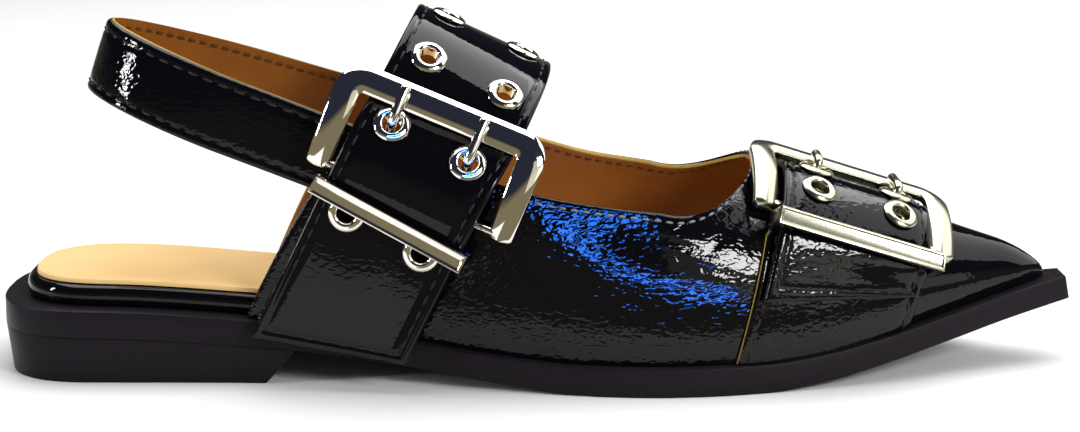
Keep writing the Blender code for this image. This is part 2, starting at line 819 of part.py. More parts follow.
def bar_profile(strap, up):
    """Section of the frame as places across the bar and out of it; it narrows to a round end."""
    share = mix(ARM_END_SHARE, 1.0, min(1.0, (up + ARM_TAIL) / ARM_END))
    outer = BAR_WIDE / 2 * share
    inner = outer + STRAPS[strap]["bar_inner_extra"] * min(1.0, max(0.0, up / (BAR_AT - CORNER)))
    deep = BAR_THICK / 2
    return [
        (-outer, -deep), (inner, -deep), (inner, deep - BAR_BEVEL), (inner - BAR_BEVEL, deep),
        (-outer + BAR_BEVEL, deep), (-outer, deep - BAR_BEVEL),
    ]


def make_buckle(strap):
    origin, upward, across, outward = buckle_axes(strap)
    path = [np.array(place) for place in frame_path()]
    rings = []
    for k, place in enumerate(path):
        before = unit(place - path[k - 1]) if k > 0 else unit(path[1] - place)
        after = unit(path[k + 1] - place) if k + 1 < len(path) else before
        ahead = unit(before + after)
        beside = np.array([-ahead[1], ahead[0]]) / np.dot(ahead, before)
        ring = []
        for wide, out in bar_profile(strap, place[0]):
            up, over = place + beside * wide
            ring.append(origin + upward * up + across * over + outward * (out + frame_bow(up)))
        rings.append(ring)
    faces = [rings[0], rings[-1]]
    for here, there in zip(rings, rings[1:]):
        for i in range(len(here)):
            n = (i + 1) % len(here)
            faces.append([here[i], here[n], there[n], there[i]])
    frame = add_object(f"{strap}_buckle", faces, CHROME, 1.0, 0.1)
    ends = [origin - across * ARM_AT_PIN, origin + across * ARM_AT_PIN]
    pin = add_object(f"{strap}_pin_joined", rod_faces(ends, PIN_RADIUS, PRONG_SIDES, upward), CHROME)
    pin.hide_render = True
    pin.display_type = "WIRE"
    join = frame.modifiers.new("pin", "BOOLEAN")
    join.operation = "UNION"
    join.solver = "EXACT"
    join.object = pin


def make_prongs(strap):
    origin, upward, across, outward = buckle_axes(strap)
    over = BAR_THICK / 2 + GAP + PRONG_RADIUS
    under = STRAP_THICK + GAP + PRONG_RADIUS
    for name, offset in (("rear", -EYELET_PAIR), ("front", EYELET_PAIR)):
        hole_at = STRAPS[strap]["rows"][ENGAGED_ROW]
        hole, normal, _, along = strap_axes(strap, hole_at, offset, STRAP_THICK)
        approach, below, _, _ = strap_axes(strap, hole_at / 2, offset, STRAP_THICK)
        beside = origin + across * np.dot(hole - origin, across)
        path = [beside + upward * (PIN_RADIUS + GAP + PRONG_RADIUS), approach - below * under]
        path += [hole + along * ahead + normal * height for ahead, height in PRONG_ROWS]
        bar_start = BAR_AT - BAR_WIDE / 2 - STRAPS[strap]["bar_inner_extra"]
        for up in (bar_start, BAR_AT + STRAPS[strap]["prong_past_bar"]):
            path.append(beside + upward * up + outward * (over + frame_bow(up)))
        faces = rod_faces(path, PRONG_RADIUS, PRONG_SIDES, across)
        add_object(f"{strap}_prong_{name}", faces, CHROME, 1.0, 0.1)


def make_keeper(strap):
    at = STRAPS[strap]["keeper_at"]
    over_strap = STRAP_THICK + KEEPER_CLEAR
    ends = [strap_point(strap, at, sign * STRAP_HALF, over_strap) for sign in (-1, 1)]
    middle, normal, _, _ = strap_axes(strap, at, 0.0, over_strap)
    across = unit(ends[1] - ends[0])
    upward = unit(np.cross(normal, across))
    normal = np.cross(across, upward)
    origin = (ends[0] + ends[1]) / 2
    origin = origin + normal * max(0.0, np.dot(middle - origin, normal))
    inner = np.linalg.norm(ends[1] - ends[0]) / 2 + KEEPER_SIDE
    half = inner + KEEPER_LEG
    feet = []
    for sign in (-1, 1):
        reach = lifted(strap, at, sign * (inner + half) / 2, KEEPER_FOOT)
        feet.append(np.dot(reach - origin, normal))
    section = [
        (-half, feet[0]), (-inner, feet[0]), (-inner, 0.0), (inner, 0.0), (inner, feet[1]),
        (half, feet[1]), (half, KEEPER_THICK), (-half, KEEPER_THICK),
    ]
    sides = []
    for sign in (-0.5, 0.5):
        shift = origin + upward * sign * KEEPER_WIDE
        sides.append([shift + across * over + normal * out for over, out in section])
    faces = [sides[0], sides[1]]
    for k in range(len(section)):
        n = (k + 1) % len(section)
        faces.append([sides[0][k], sides[0][n], sides[1][n], sides[1][k]])
    add_object(f"{strap}_keeper", faces, CHROME, 1.0, 0.1)


def centre_on_box():
    """Move every piece so that the box of the shoe stands centred on the origin."""
    pieces = [piece for piece in bpy.data.objects if not piece.hide_render]
    points = np.array([vertex.co for piece in pieces for vertex in piece.data.vertices])
    low = points.min(axis=0)
    high = points.max(axis=0)
    shift = np.array([(low[0] + high[0]) / 2, (low[1] + high[1]) / 2, low[2]])
    for piece in bpy.data.objects:
        for vertex in piece.data.vertices:
            vertex.co = np.array(vertex.co) - shift


def main():
    for piece in list(bpy.data.objects):
        bpy.data.objects.remove(piece, do_unlink=True)
    make_outsole()
    make_heel()
    make_insole_board()
    make_insole_sock()
    make_upper()
    make_sling_strap()
    for strap in STRAPS:
        make_strap(strap)
        make_tab(strap)
        make_buckle(strap)
        make_prongs(strap)
        make_keeper(strap)
        make_eyelets(strap)
    centre_on_box()


main()
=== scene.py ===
# Looks of the right slingback flat with two buckled straps.
# Stations run along the shoe from the back of the heel, in millimetres.
# The lateral side is -1 (minus Y) and the medial side is +1 (plus Y).
import math

import bmesh
import bpy
import numpy as np
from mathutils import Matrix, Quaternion, Vector


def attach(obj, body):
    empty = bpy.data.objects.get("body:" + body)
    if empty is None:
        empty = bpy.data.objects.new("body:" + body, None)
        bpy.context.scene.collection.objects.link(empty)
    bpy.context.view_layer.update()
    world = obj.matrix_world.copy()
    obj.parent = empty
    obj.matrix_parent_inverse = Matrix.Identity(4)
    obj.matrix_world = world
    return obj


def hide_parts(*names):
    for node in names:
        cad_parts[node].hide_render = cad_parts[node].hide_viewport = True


MM = 0.001
GAP = 0.3
LATERAL = -1
MEDIAL = 1
SHIFT = np.array([-136.081, 1.097, 0.0])

# Corners that are joined and slivers that go, in metres, and the angles of sharp edges in degrees
MERGE = 0.000002
SLIVER = 0.000001
SHARP = 40.0
METAL_SHARP = 25.0
UPPER_SHARP = 60.0
THREAD_SHARP = 80.0

# Sole: half widths from the axis, height of the top face and thickness of the edge
# Columns: station, lateral, medial, top, thick
SOLE_ROWS = [
    (0.0, 28.6, 28.6, 18.6, 6.8),
    (30.0, 28.6, 28.4, 18.2, 6.8),
    (62.0, 28.8, 27.2, 16.3, 6.6),
    (85.0, 29.6, 25.6, 14.0, 6.3),
    (107.0, 32.2, 26.8, 11.0, 6.1),
    (127.0, 36.0, 31.2, 8.5, 6.3),
    (145.0, 39.2, 36.0, 7.1, 6.85),
    (155.0, 40.5, 38.2, 7.0, 7.0),
    (165.0, 41.0, 39.6, 7.0, 7.0),
    (178.0, 39.8, 39.8, 7.0, 7.0),
    (190.0, 37.2, 37.8, 7.0, 7.0),
    (205.0, 32.6, 33.2, 8.2, 6.6),
    (220.0, 27.0, 27.4, 10.8, 6.3),
    (236.0, 20.0, 20.4, 14.3, 6.1),
    (252.0, 12.8, 13.2, 18.0, 6.0),
    (270.5, 4.6, 4.8, 21.7, 5.9),
]
SOLE_END = 270.5
SOLE_ACROSS = 10
SOLE_PITCH = 3.0
SLOPE_STEP = 0.5
SOLE_EDGE = 0.25
HEEL_ROUND = 26.0
HEEL_POWER = 2.6
HEEL_INSET_SHARE = 0.5
HEEL_FIRST_TURN = 2.0
HEEL_STEPS = 22

# Heel block: its front face slopes forward towards the top
HEEL_FRONT_BOTTOM = 68.5
HEEL_FRONT_TOP = 76.0
HEEL_TAPER = 1.2
HEEL_HOLLOW = 2.0
HEEL_HOLLOW_POWER = 6
HEEL_LEAN_POWER = 2
HEEL_ACROSS = 14
HEEL_JOIN = 0.04
HEEL_EDGE = 0.15
HEEL_SIDE_STEPS = 12

# Footbed and the sheet on it
BOARD_END = 257.0
BOARD_ROWS = [(0.0, 4.7), (80.0, 4.7), (140.0, 2.6), (270.0, 2.4)]
# Columns: inset, share of height
BOARD_ROLL_ROWS = [
    (0.6, 0.0), (0.15, 0.12), (0.0, 0.35), (0.05, 0.6), (0.35, 0.82), (0.85, 0.95), (1.5, 1.0),
]
SOCK_THICK = 1.2
SOCK_INSET = 2.4
SOCK_ROLL_ROWS = [(0.0, 0.0), (0.0, 0.6), (0.2, 0.9), (0.6, 1.0)]

# Last: ridge line, swell of the side and the shares that shape each section
# Columns: station, ridge, ridge_shift, swell, side_share, crown_share
LAST_ROWS = [
    (55.0, 110.0, 0.0, 3.5, 0.62, 0.70),
    (90.0, 95.6, 1.0, 4.0, 0.66, 0.72),
    (106.0, 88.2, 2.0, 4.2, 0.70, 0.74),
    (123.0, 80.2, 3.0, 4.5, 0.72, 0.74),
    (140.0, 72.2, 4.0, 5.0, 0.72, 0.72),
    (165.0, 61.0, 5.0, 5.5, 0.70, 0.66),
    (190.5, 51.8, 4.5, 5.0, 0.66, 0.60),
    (205.0, 47.0, 3.5, 4.6, 0.64, 0.58),
    (220.0, 42.2, 2.5, 4.2, 0.64, 0.58),
    (242.0, 34.4, 1.0, 3.2, 0.64, 0.58),
    (254.0, 30.5, 0.4, 2.4, 0.64, 0.58),
    (270.0, 25.4, 0.0, 1.6, 0.64, 0.58),
]
INSET_ROWS = [(0.0, 3.0), (200.0, 3.0), (240.0, 3.6), (262.0, 4.6), (270.0, 5.0)]
UPPER_TIP = 265.7
TIP_ROUND = 8.0
CAP_LENGTH = 13.7
CAP_POWER = 2.5
TIP_MARGIN = 0.15
NORMAL_STEP = 0.1
NORMAL_RISE = 0.01
HALVINGS = 30
WALL = 1.8

# Top edge of the upper: height on each side, then the turn across the throat
# Columns: station, lateral, medial
TOPLINE_ROWS = [
    (92.0, 62.0, 66.8),
    (110.0, 56.0, 60.5),
    (134.0, 48.2, 52.5),
    (150.0, 45.6, 47.6),
    (166.0, 43.6, 45.0),
]
QUARTER_FOOT = 64.0
QUARTER_TOP = 92.0
TURN_TOP = 166.0
TURN_FOOT = 158.0
THROAT = 190.5
THROAT_FOOT = 186.0
OPEN_STEPS = 56
THROAT_STEPS = 34
VAMP_STEPS = 40
TOE_STEPS = 20
WALL_STEPS = 40
RIM_STEPS = 4
RIM_ROUND = 0.45

# Soft creases of the upper: troughs are negative and ridges positive
# Columns: side, station, height, lean, half length, half width, depth
CREASE_ROWS = [
    (LATERAL, 172.0, 37.5, -22.0, 7.0, 0.9, 0.16),
    (LATERAL, 174.0, 35.2, -20.0, 9.0, 0.9, -0.18),
    (LATERAL, 176.0, 33.0, -19.0, 9.0, 1.0, 0.18),
    (LATERAL, 178.0, 30.6, -18.0, 8.0, 1.0, -0.16),
    (LATERAL, 179.0, 28.2, -16.0, 7.0, 1.1, 0.14),
    (LATERAL, 181.0, 38.0, 38.0, 5.0, 1.1, -0.16),
    (LATERAL, 152.0, 25.0, -12.0, 16.0, 3.0, -0.15),
    (MEDIAL, 172.0, 37.0, -22.0, 8.0, 1.0, 0.16),
    (MEDIAL, 175.0, 34.0, -20.0, 9.0, 1.0, -0.18),
    (MEDIAL, 177.0, 31.0, -18.0, 8.0, 1.1, 0.16),
    (MEDIAL, 150.0, 24.0, -12.0, 16.0, 3.0, -0.15),
]

# Sling band: mid line from the back of the heel to the lap inside each quarter
SLING_BACK = 24.5
SLING_BACK_HEIGHT = 78.7
SLING_SIDE = 60.0
SLING_LAP = 98.0
SLING_DROP = {LATERAL: 0.375, MEDIAL: 0.285}
SLING_LEAN = math.radians(19.0)
SLING_HALF = 9.0
SLING_THICK = 1.8
SLING_RAW_SHARE = 0.5
SLING_TURN_STEPS = 40
SLING_SIDE_STEPS = 22

# Straps: each is cut from the last between two leaning planes
STRAP_HALF = 18.8
STRAP_THICK = 1.8
TAB_LIFT = 0.3
TAB_THICK = 1.2
TAB_OVER_PIN = 0.5
TAB_STEPS = 28
TAB_NECK = 0.8
TAB_NECK_SPAN = 0.1
TAB_EDGE_SHARE = 0.7
TAB_NECK_EXTRA = -0.4
# Columns: from_pin, lift
LIFT_ROWS = [
    (-24.0, 2.4),
    (-16.0, 2.8),
    (-7.0, 4.4),
    (0.0, 5.3),
    (8.0, 4.8),
    (13.0, 3.4),
    (17.0, 1.3),
    (20.5, 0.5),
    (26.0, 0.4),
]
STRAPS = {
    "instep": {
        "station": 104.0, "height": 48.0, "lean": math.radians(26.0), "sway": 0.04, "tab_extra": -0.4,
        "end_rear": 12.9, "end_front": 7.7, "hangs": True, "low": -4.0, "rows": (-10.0, 13.0, 31.5, 54.0),
        "medial_steps": 50, "keeper_at": -7.0, "frame_turn": math.radians(-4.5), "frame_shift": 1.2,
        "pin_lift": 3.1, "bar_lift": 5.1, "prong_past_bar": 2.2, "bar_inner_extra": 0.7,
    },
    "vamp": {
        "station": 212.0, "height": 36.0, "lean": math.radians(17.0), "sway": -0.06, "tab_extra": 1.6,
        "end_rear": 22.6, "end_front": 20.6, "hangs": False, "low": -8.0, "rows": (4.5, 12.6),
        "medial_steps": 32, "keeper_at": -5.2, "frame_turn": math.radians(-5.0), "frame_shift": 0.4,
        "pin_lift": 3.55, "bar_lift": 5.6, "prong_past_bar": -1.2, "bar_inner_extra": 0.3,
    },
}
STRAP_PITCH = 1.3
BAND_SAMPLES = 121
SOLVE_STEPS = 14
SOLVE_SHARE = 0.8
SOLVE_NEAR = 0.0005

# Section of a band near its edge: a rounded border and a trough for the stitches
# Columns: inset, height
EDGE_ROWS = [(0.0, -0.60), (0.25, -0.24), (0.6, -0.08), (1.2, 0.0), (2.3, -0.26), (3.4, 0.0), (9.0, 0.06)]
EDGE_PLACES = (0.0, 0.25, 0.6, 1.2, 1.75, 2.3, 2.85, 3.4, 4.6)
BAND_MIDDLE_STEPS = 14

# Stitches
STITCH_PITCH = 4.2
STITCH_LONG = 3.0
STITCH_HALF = 0.34
STITCH_INSET = 2.3
STITCH_SIDES = 6
STITCH_RISE = 0.3
FINE_PITCH = 2.9
FINE_LONG = 2.0
# Columns: along, thick
STITCH_ROWS = [(-1.0, 0.25), (-0.75, 0.8), (0.0, 1.0), (0.75, 0.8), (1.0, 0.25)]

# Buckles
PIN_RADIUS = 0.9
BAR_AT = 22.6
BAR_WIDE = 6.0
BAR_THICK = 2.6
BAR_BEVEL = 0.9
ARM_AT_BAR = 24.2
ARM_AT_PIN = 23.8
ARM_TAIL = 1.6
ARM_END = 1.2
ARM_END_SHARE = 0.4
ARM_END_STEPS = 6
BAR_DOME_STEPS = 10
CORNER = 4.5
FRAME_BOW = 1.6
ARM_STEPS = 14
CORNER_STEPS = 10
FRAME_EDGE = 0.14
PRONG_RADIUS = 1.25
PRONG_SIDES = 20
EYELET_PAIR = 10.4
ENGAGED_ROW = 1
# Columns: along, height
PRONG_ROWS = [(-2.8, -3.7), (-0.4, -2.7), (0.0, 0.0), (0.2, 2.7)]
PRONG_SOFTENING = 3
PRONG_CUT = 0.25
PRONG_TIP_STEPS = 6
PRONG_TIP_TURN = math.radians(85.0)
PRONG_TIP_CLEAR = 4

# Keepers
KEEPER_SIDE = 0.5
KEEPER_WIDE = 4.6
KEEPER_THICK = 1.4
KEEPER_LEG = 1.9
KEEPER_FOOT = 3.0
KEEPER_CLEAR = 1.7
KEEPER_RIM = 0.5
KEEPER_DISH = 0.3
KEEPER_EDGE = 0.16

# Eyelets
EYELET_SIDES = 40
HOLE_RADIUS = 3.05
# Columns: radius, height
EYELET_ROWS = [
    (2.3, -2.0), (2.3, 0.72), (2.42, 1.0), (2.75, 1.22), (3.2, 1.3), (3.75, 1.14), (4.25, 0.82), (4.5, 0.5),
    (4.47, 0.25), (2.7, 0.25), (2.7, -2.0),
]
CUTTER_REACH = 6.0

# Crinkle of the patent: stretched along the shoe, and calm on the toe beyond these places in metres
CRINKLE_STRETCH = 0.5
TOE_FADE = (0.070, 0.095)
TOE_CALM = 0.2

# Camera and lights: places are in metres from the middle of the shoe, and rolls in degrees
CAMERA_AT = (0.0, -0.5378, 0.149)
CAMERA_TARGET = (0.0, 0.0006, 0.0365)
CAMERA_LENS = 71.6
CAMERA_SENSOR = 36.0
BLUE = (0.03, 0.20, 1.0)
WHITE = (1.0, 1.0, 1.0)
# Columns: name, x, y, z, wide, tall, roll, power, lights the floor, colour
LIGHT_ROWS = [
    ("overhead", 0.05, 0.42, 1.46, 1.8, 1.6, 0.0, 41.0, True, (1.0, 0.99, 0.98)),
    ("front_blue", -0.080, -0.56, 0.13, 0.030, 0.13, -8.0, 0.7, False, BLUE),
    ("front_blue_low", 0.145, -0.56, 0.05, 0.46, 0.036, 0.0, 2.9, False, BLUE),
    ("front_blue_high", 0.08, -0.56, 0.365, 0.46, 0.036, 45.0, 2.9, False, BLUE),
    ("front_right", 0.49, -0.56, 0.39, 0.21, 0.20, 0.0, 4.8, True, (1.0, 0.99, 0.97)),
    ("front_fill", 0.62, -0.85, 0.30, 0.70, 0.60, 0.0, 0.75, True, (1.0, 0.96, 0.84)),
    ("front_low_fill", 1.05, -0.85, 0.16, 0.60, 0.32, 0.0, 0.8, True, (1.0, 0.97, 0.90)),
    ("left", -0.90, -0.30, 0.34, 0.07, 0.30, 0.0, 4.0, True, WHITE),
    ("right", 1.00, 0.30, 0.78, 1.40, 0.95, 0.0, 8.5, True, WHITE),
]
WITH_BLUE = ("shown_upper", "shown_instep_eyelet_3", "shown_instep_eyelet_4")
WORLD_LOW = (0.22, 0.19, 0.125)
WORLD_HIGH = (0.022, 0.026, 0.045)
WORLD_FADE = (0.10, 0.26)
FLOOR_REACH = 6.0
# Columns: x, y
FLOOR_JOIN_ROWS = [(-FLOOR_REACH, -0.30), (-0.125, -0.30), (-0.055, -0.078), (FLOOR_REACH, -0.078)]
FLOOR_PALE = (0.70, 0.70, 0.71)
FLOOR_ROUGH = 0.7
FLOOR_SPECULAR = 0.1

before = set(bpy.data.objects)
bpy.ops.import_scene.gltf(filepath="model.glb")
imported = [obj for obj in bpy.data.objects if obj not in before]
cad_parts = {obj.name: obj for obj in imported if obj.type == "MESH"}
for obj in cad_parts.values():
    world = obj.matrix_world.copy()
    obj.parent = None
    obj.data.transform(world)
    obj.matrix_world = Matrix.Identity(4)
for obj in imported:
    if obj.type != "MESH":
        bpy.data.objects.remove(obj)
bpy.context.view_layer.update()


def curve(rows, column):
    """Smooth line through one column of a table, without overshoot."""
    at = [row[0] for row in rows]
    value = [row[column] for row in rows]
    slope = [(value[i + 1] - value[i]) / (at[i + 1] - at[i]) for i in range(len(at) - 1)]
    tangent = [slope[0]]
    for before, after in zip(slope, slope[1:]):
        tangent.append(2 * before * after / (before + after) if before * after > 0 else 0.0)
    tangent.append(slope[-1])

    def reading(x):
        if x <= at[0]:
            return value[0]
        if x >= at[-1]:
            return value[-1]
        i = max(k for k in range(len(at) - 1) if at[k] <= x)
        span = at[i + 1] - at[i]
        t = (x - at[i]) / span
        start = (1 + 2 * t) * (1 - t) ** 2 * value[i] + t * (1 - t) ** 2 * span * tangent[i]
        end = t * t * (3 - 2 * t) * value[i + 1] - t * t * (1 - t) * span * tangent[i + 1]
        return start + end

    return reading


sole_half = {LATERAL: curve(SOLE_ROWS, 1), MEDIAL: curve(SOLE_ROWS, 2)}
sole_top = curve(SOLE_ROWS, 3)
sole_thick = curve(SOLE_ROWS, 4)
board_thick = curve(BOARD_ROWS, 1)
ridge_height = curve(LAST_ROWS, 1)
ridge_shift = curve(LAST_ROWS, 2)
side_swell = curve(LAST_ROWS, 3)
side_share = curve(LAST_ROWS, 4)
crown_share = curve(LAST_ROWS, 5)
upper_inset = curve(INSET_ROWS, 1)
topline = {LATERAL: curve(TOPLINE_ROWS, 1), MEDIAL: curve(TOPLINE_ROWS, 2)}
strap_lift = curve(LIFT_ROWS, 1)
edge_height = curve(EDGE_ROWS, 1)


def unit(vector):
    return vector / np.linalg.norm(vector)


def mix(a, b, t):
    return a + (b - a) * t


def clamp(value):
    return min(1.0, max(0.0, value))


def shares(steps, whole=False):
    """Even shares from 0 up, with 1 itself only where the whole is asked for."""
    return [k / steps for k in range(steps + whole)]


def add_object(name, data):
    thing = bpy.data.objects.new(name, data)
    bpy.context.scene.collection.objects.link(thing)
    return thing


def joined_faces(faces, marks=None):
    """Mesh in the making from faces in millimetres; marks choose the material of each face."""
    build = bmesh.new()
    for k, points in enumerate(faces):
        face = build.faces.new([build.verts.new((np.asarray(p) + SHIFT) * MM) for p in points])
        face.material_index = marks[k] if marks else 0
    bmesh.ops.remove_doubles(build, verts=build.verts, dist=MERGE)
    return build


def finished_mesh(name, build):
    mesh = bpy.data.meshes.new(name)
    build.to_mesh(mesh)
    build.free()
    return mesh


def bevel_sharp(build, width, angle):
    sharp = [edge for edge in build.edges if edge.is_manifold and edge.calc_face_angle() > angle]
    bmesh.ops.bevel(build, geom=sharp, offset=width * MM, segments=2, profile=0.5, affect="EDGES")


def add_piece(name, faces, materials, nodes=(), marks=None, edge=0.0, sharp=SHARP):
    """Visible piece from faces in millimetres, in the place of its nodes."""
    build = joined_faces(faces, marks)
    bmesh.ops.dissolve_degenerate(build, edges=build.edges, dist=SLIVER)
    bmesh.ops.recalc_face_normals(build, faces=build.faces)
    if edge:
        bevel_sharp(build, edge, math.radians(sharp))
    for face in build.faces:
        face.smooth = True
    mesh = finished_mesh(name, build)
    mesh.set_sharp_from_angle(angle=math.radians(sharp))
    for material in materials:
        mesh.materials.append(material)
    piece = add_object(name, mesh)
    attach(piece, "root")
    for node in nodes:
        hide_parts(node)
    return piece


def add_metal(strap, name, faces, materials, node, edge=0.0, sharp=SHARP):
    looks = [materials[f"{strap}_metal"]]
    nodes = [f"{strap}_{node}"]
    add_piece(f"shown_{strap}_{name}", faces, looks, nodes, edge=edge, sharp=sharp)


def sheet_faces(grid):
    faces = []
    for row, following in zip(grid, grid[1:]):
        for k in range(len(row) - 1):
            faces.append([row[k], row[k + 1], following[k + 1], following[k]])
    return faces


def edge_loop(grid):
    loop = list(grid[0])
    loop += [row[-1] for row in grid[1:]]
    loop += list(reversed(grid[-1][:-1]))
    loop += [row[0] for row in reversed(grid[1:-1])]
    return loop


def ring_faces(lower, upper):
    faces = []
    for k in range(len(lower)):
        n = (k + 1) % len(lower)
        faces.append([lower[k], lower[n], upper[n], upper[k]])
    return faces


def round_ring(centre, first, second, radius, sides):
    """Points of a circle in the plane of two directions."""
    angles = [2 * math.pi * k / sides for k in range(sides)]
    return [centre + (first * math.cos(a) + second * math.sin(a)) * radius for a in angles]


def tube_faces(rings):
    """Rings joined into a tube that is closed at both ends."""
    faces = [rings[0], rings[-1]]
    for here, there in zip(rings, rings[1:]):
        faces += ring_faces(here, there)
    return faces


def stack_faces(layers):
    """Closed body: a cap, rings of edge and another cap."""
    faces = sheet_faces(layers[0]) + sheet_faces(layers[-1])
    for lower, upper in zip(layers, layers[1:]):
        faces += ring_faces(edge_loop(lower), edge_loop(upper))
    return faces


def band_faces(under, over, raw_share=0.0):
    """Faces and marks of a band: 0 outside, 1 lining, 2 cut edge and 3 raw part of the edge."""
    parts = [sheet_faces(over), sheet_faces(under)]
    low = edge_loop(under)
    high = edge_loop(over)
    middle = [mix(a, b, raw_share) for a, b in zip(low, high)]
    parts.append(ring_faces(middle, high))
    if raw_share:
        parts.append(ring_faces(low, middle))
    return sum(parts, []), [mark for mark, part in enumerate(parts) for _ in part]


# Materials
def new_material(name, colour, roughness, metallic=0.0):
    material = bpy.data.materials.new(name)
    material.use_nodes = True
    shader = material.node_tree.nodes["Principled BSDF"]
    shader.inputs["Base Color"].default_value = (*colour, 1.0)
    shader.inputs["Roughness"].default_value = roughness
    shader.inputs["Metallic"].default_value = metallic
    return material, material.node_tree, shader


def add_node(tree, kind, **values):
    node = tree.nodes.new(kind)
    for key, value in values.items():
        setattr(node, key, value)
    return node


def surface_place(tree, scale=(1.0, 1.0, 1.0)):
    """Place on the piece, stretched by a scale along each axis."""
    place = add_node(tree, "ShaderNodeTexCoord")
    stretch = add_node(tree, "ShaderNodeMapping")
    stretch.inputs["Scale"].default_value = scale
    tree.links.new(place.outputs["Object"], stretch.inputs["Vector"])
    return stretch.outputs["Vector"]


def noise_height(tree, place, scale, detail, distortion=0.0):
    noise = add_node(tree, "ShaderNodeTexNoise")
    noise.inputs["Scale"].default_value = scale
    noise.inputs["Detail"].default_value = detail
    noise.inputs["Distortion"].default_value = distortion
    tree.links.new(place, noise.inputs["Vector"])
    return noise.outputs["Fac"]


def bump(tree, height, distance, strength, before=None):
    node = add_node(tree, "ShaderNodeBump")
    node.inputs["Distance"].default_value = distance
    node.inputs["Strength"].default_value = strength
    tree.links.new(height, node.inputs["Height"])
    if before is not None:
        tree.links.new(before, node.inputs["Normal"])
    return node.outputs["Normal"]


def colour_between(tree, factor, first, second, low, high):
    ramp = add_node(tree, "ShaderNodeValToRGB")
    ramp.color_ramp.elements[0].position = low
    ramp.color_ramp.elements[0].color = (*first, 1.0)
    ramp.color_ramp.elements[1].position = high
    ramp.color_ramp.elements[1].color = (*second, 1.0)
    tree.links.new(factor, ramp.inputs["Fac"])
    return ramp.outputs["Color"]


def patent_material(name, crinkle):
    """Black patent with a fine worm-like crinkle under a glossy coat."""
    material, tree, shader = new_material(name, (0.002, 0.002, 0.003), 0.5)
    shader.inputs["Specular IOR Level"].default_value = 0.0
    shader.inputs["Coat Weight"].default_value = 1.0
    shader.inputs["Coat Roughness"].default_value = 0.03
    shader.inputs["Coat IOR"].default_value = 1.33
    place = surface_place(tree, (CRINKLE_STRETCH, 1.0, 1.0))
    folds = noise_height(tree, place, scale=950.0, detail=0.5, distortion=0.7)
    swells = noise_height(tree, place, scale=80.0, detail=1.0, distortion=0.4)
    broad = bump(tree, swells, distance=0.0003, strength=crinkle)
    fine = bump(tree, folds, distance=0.00011, strength=crinkle, before=broad)
    along = add_node(tree, "ShaderNodeSeparateXYZ")
    tree.links.new(place, along.inputs["Vector"])
    calm = add_node(tree, "ShaderNodeMapRange")
    for key, value in zip(("From Min", "From Max"), TOE_FADE):
        calm.inputs[key].default_value = value * CRINKLE_STRETCH
    calm.inputs["To Min"].default_value = crinkle
    calm.inputs["To Max"].default_value = crinkle * TOE_CALM
    tree.links.new(along.outputs["X"], calm.inputs["Value"])
    for node in tree.nodes:
        if node.bl_idname == "ShaderNodeBump":
            tree.links.new(calm.outputs["Result"], node.inputs["Strength"])
    tree.links.new(fine, shader.inputs["Normal"])
    tree.links.new(fine, shader.inputs["Coat Normal"])
    return material


def leather_material(name, first, second, roughness, grain):
    material, tree, shader = new_material(name, first, roughness)
    place = surface_place(tree)
    clouds = noise_height(tree, place, scale=45.0, detail=3.0)
    colour = colour_between(tree, clouds, first, second, low=0.35, high=0.7)
    tree.links.new(colour, shader.inputs["Base Color"])
    pores = noise_height(tree, place, scale=1400.0, detail=2.0)
    rough = bump(tree, pores, distance=0.0003, strength=grain)
    tree.links.new(rough, shader.inputs["Normal"])
    shader.inputs["Specular IOR Level"].default_value = 0.15
    return material


def sole_material():
    material, tree, shader = new_material("black_sole", (0.011, 0.009, 0.012), 0.36)
    place = surface_place(tree)
    grain = noise_height(tree, place, scale=900.0, detail=3.0)
    wear = noise_height(tree, place, scale=60.0, detail=4.0)
    broad = bump(tree, wear, distance=0.0008, strength=0.12)
    fine = bump(tree, grain, distance=0.0002, strength=0.25, before=broad)
    tree.links.new(fine, shader.inputs["Normal"])
    shader.inputs["Specular IOR Level"].default_value = 0.06
    return material


def metal_material(name, colour, roughness):
    material, tree, shader = new_material(name, colour, roughness, metallic=1.0)
    place = surface_place(tree)
    waves = noise_height(tree, place, scale=160.0, detail=1.0)
    soft = bump(tree, waves, distance=0.0004, strength=0.06)
    tree.links.new(soft, shader.inputs["Normal"])
    return material


def plain_material(name, colour, roughness, specular):
    material, _, shader = new_material(name, colour, roughness)
    shader.inputs["Specular IOR Level"].default_value = specular
    return material


def make_materials():
    return {
        "patent": patent_material("black_patent", 1.0),
        "instep_strap": patent_material("strap_patent", 0.12),
        "vamp_strap": patent_material("vamp_patent", 0.9),
        "rim": patent_material("black_rim", 0.15),
        "lining": leather_material("tan_lining", (0.20, 0.062, 0.005), (0.25, 0.088, 0.009), 0.55, 0.3),
        "insole": leather_material("pale_insole", (0.66, 0.44, 0.19), (0.70, 0.48, 0.22), 0.6, 0.25),
        "raw_edge": leather_material("mustard_edge", (0.30, 0.19, 0.03), (0.42, 0.28, 0.06), 0.7, 0.4),
        "black_edge": plain_material("black_edge", (0.006, 0.006, 0.007), 0.4, 0.3),
        "sole": sole_material(),
        "instep_metal": metal_material("bright_metal", (0.86, 0.83, 0.75), 0.05),
        # Painted shade: the vamp buckle is the same metal as the bright one, with its colour darkened so
        # that it reflects less light
        "vamp_metal": metal_material("satin_metal_painted_shade", (0.50, 0.49, 0.375), 0.20),
        "thread": plain_material("black_thread", (0.006, 0.006, 0.007), 0.5, 0.3),
        # Painted highlight: the collar thread is the black thread coloured grey, so its stitches show as
        # glints along the top edge
        "collar_thread": plain_material("collar_thread", (0.13, 0.13, 0.13), 0.35, 0.5),
        "lining_thread": plain_material("lining_thread", (0.07, 0.025, 0.006), 0.6, 0.2),
    }


# Sole, heel and footbed
def heel_turn(station, inset):
    """Share of the full half width near the rounded back of the heel."""
    reach = HEEL_ROUND - HEEL_INSET_SHARE * inset
    back = clamp((station - inset) / reach)
    return (1 - (1 - back) ** HEEL_POWER) ** (1 / HEEL_POWER)


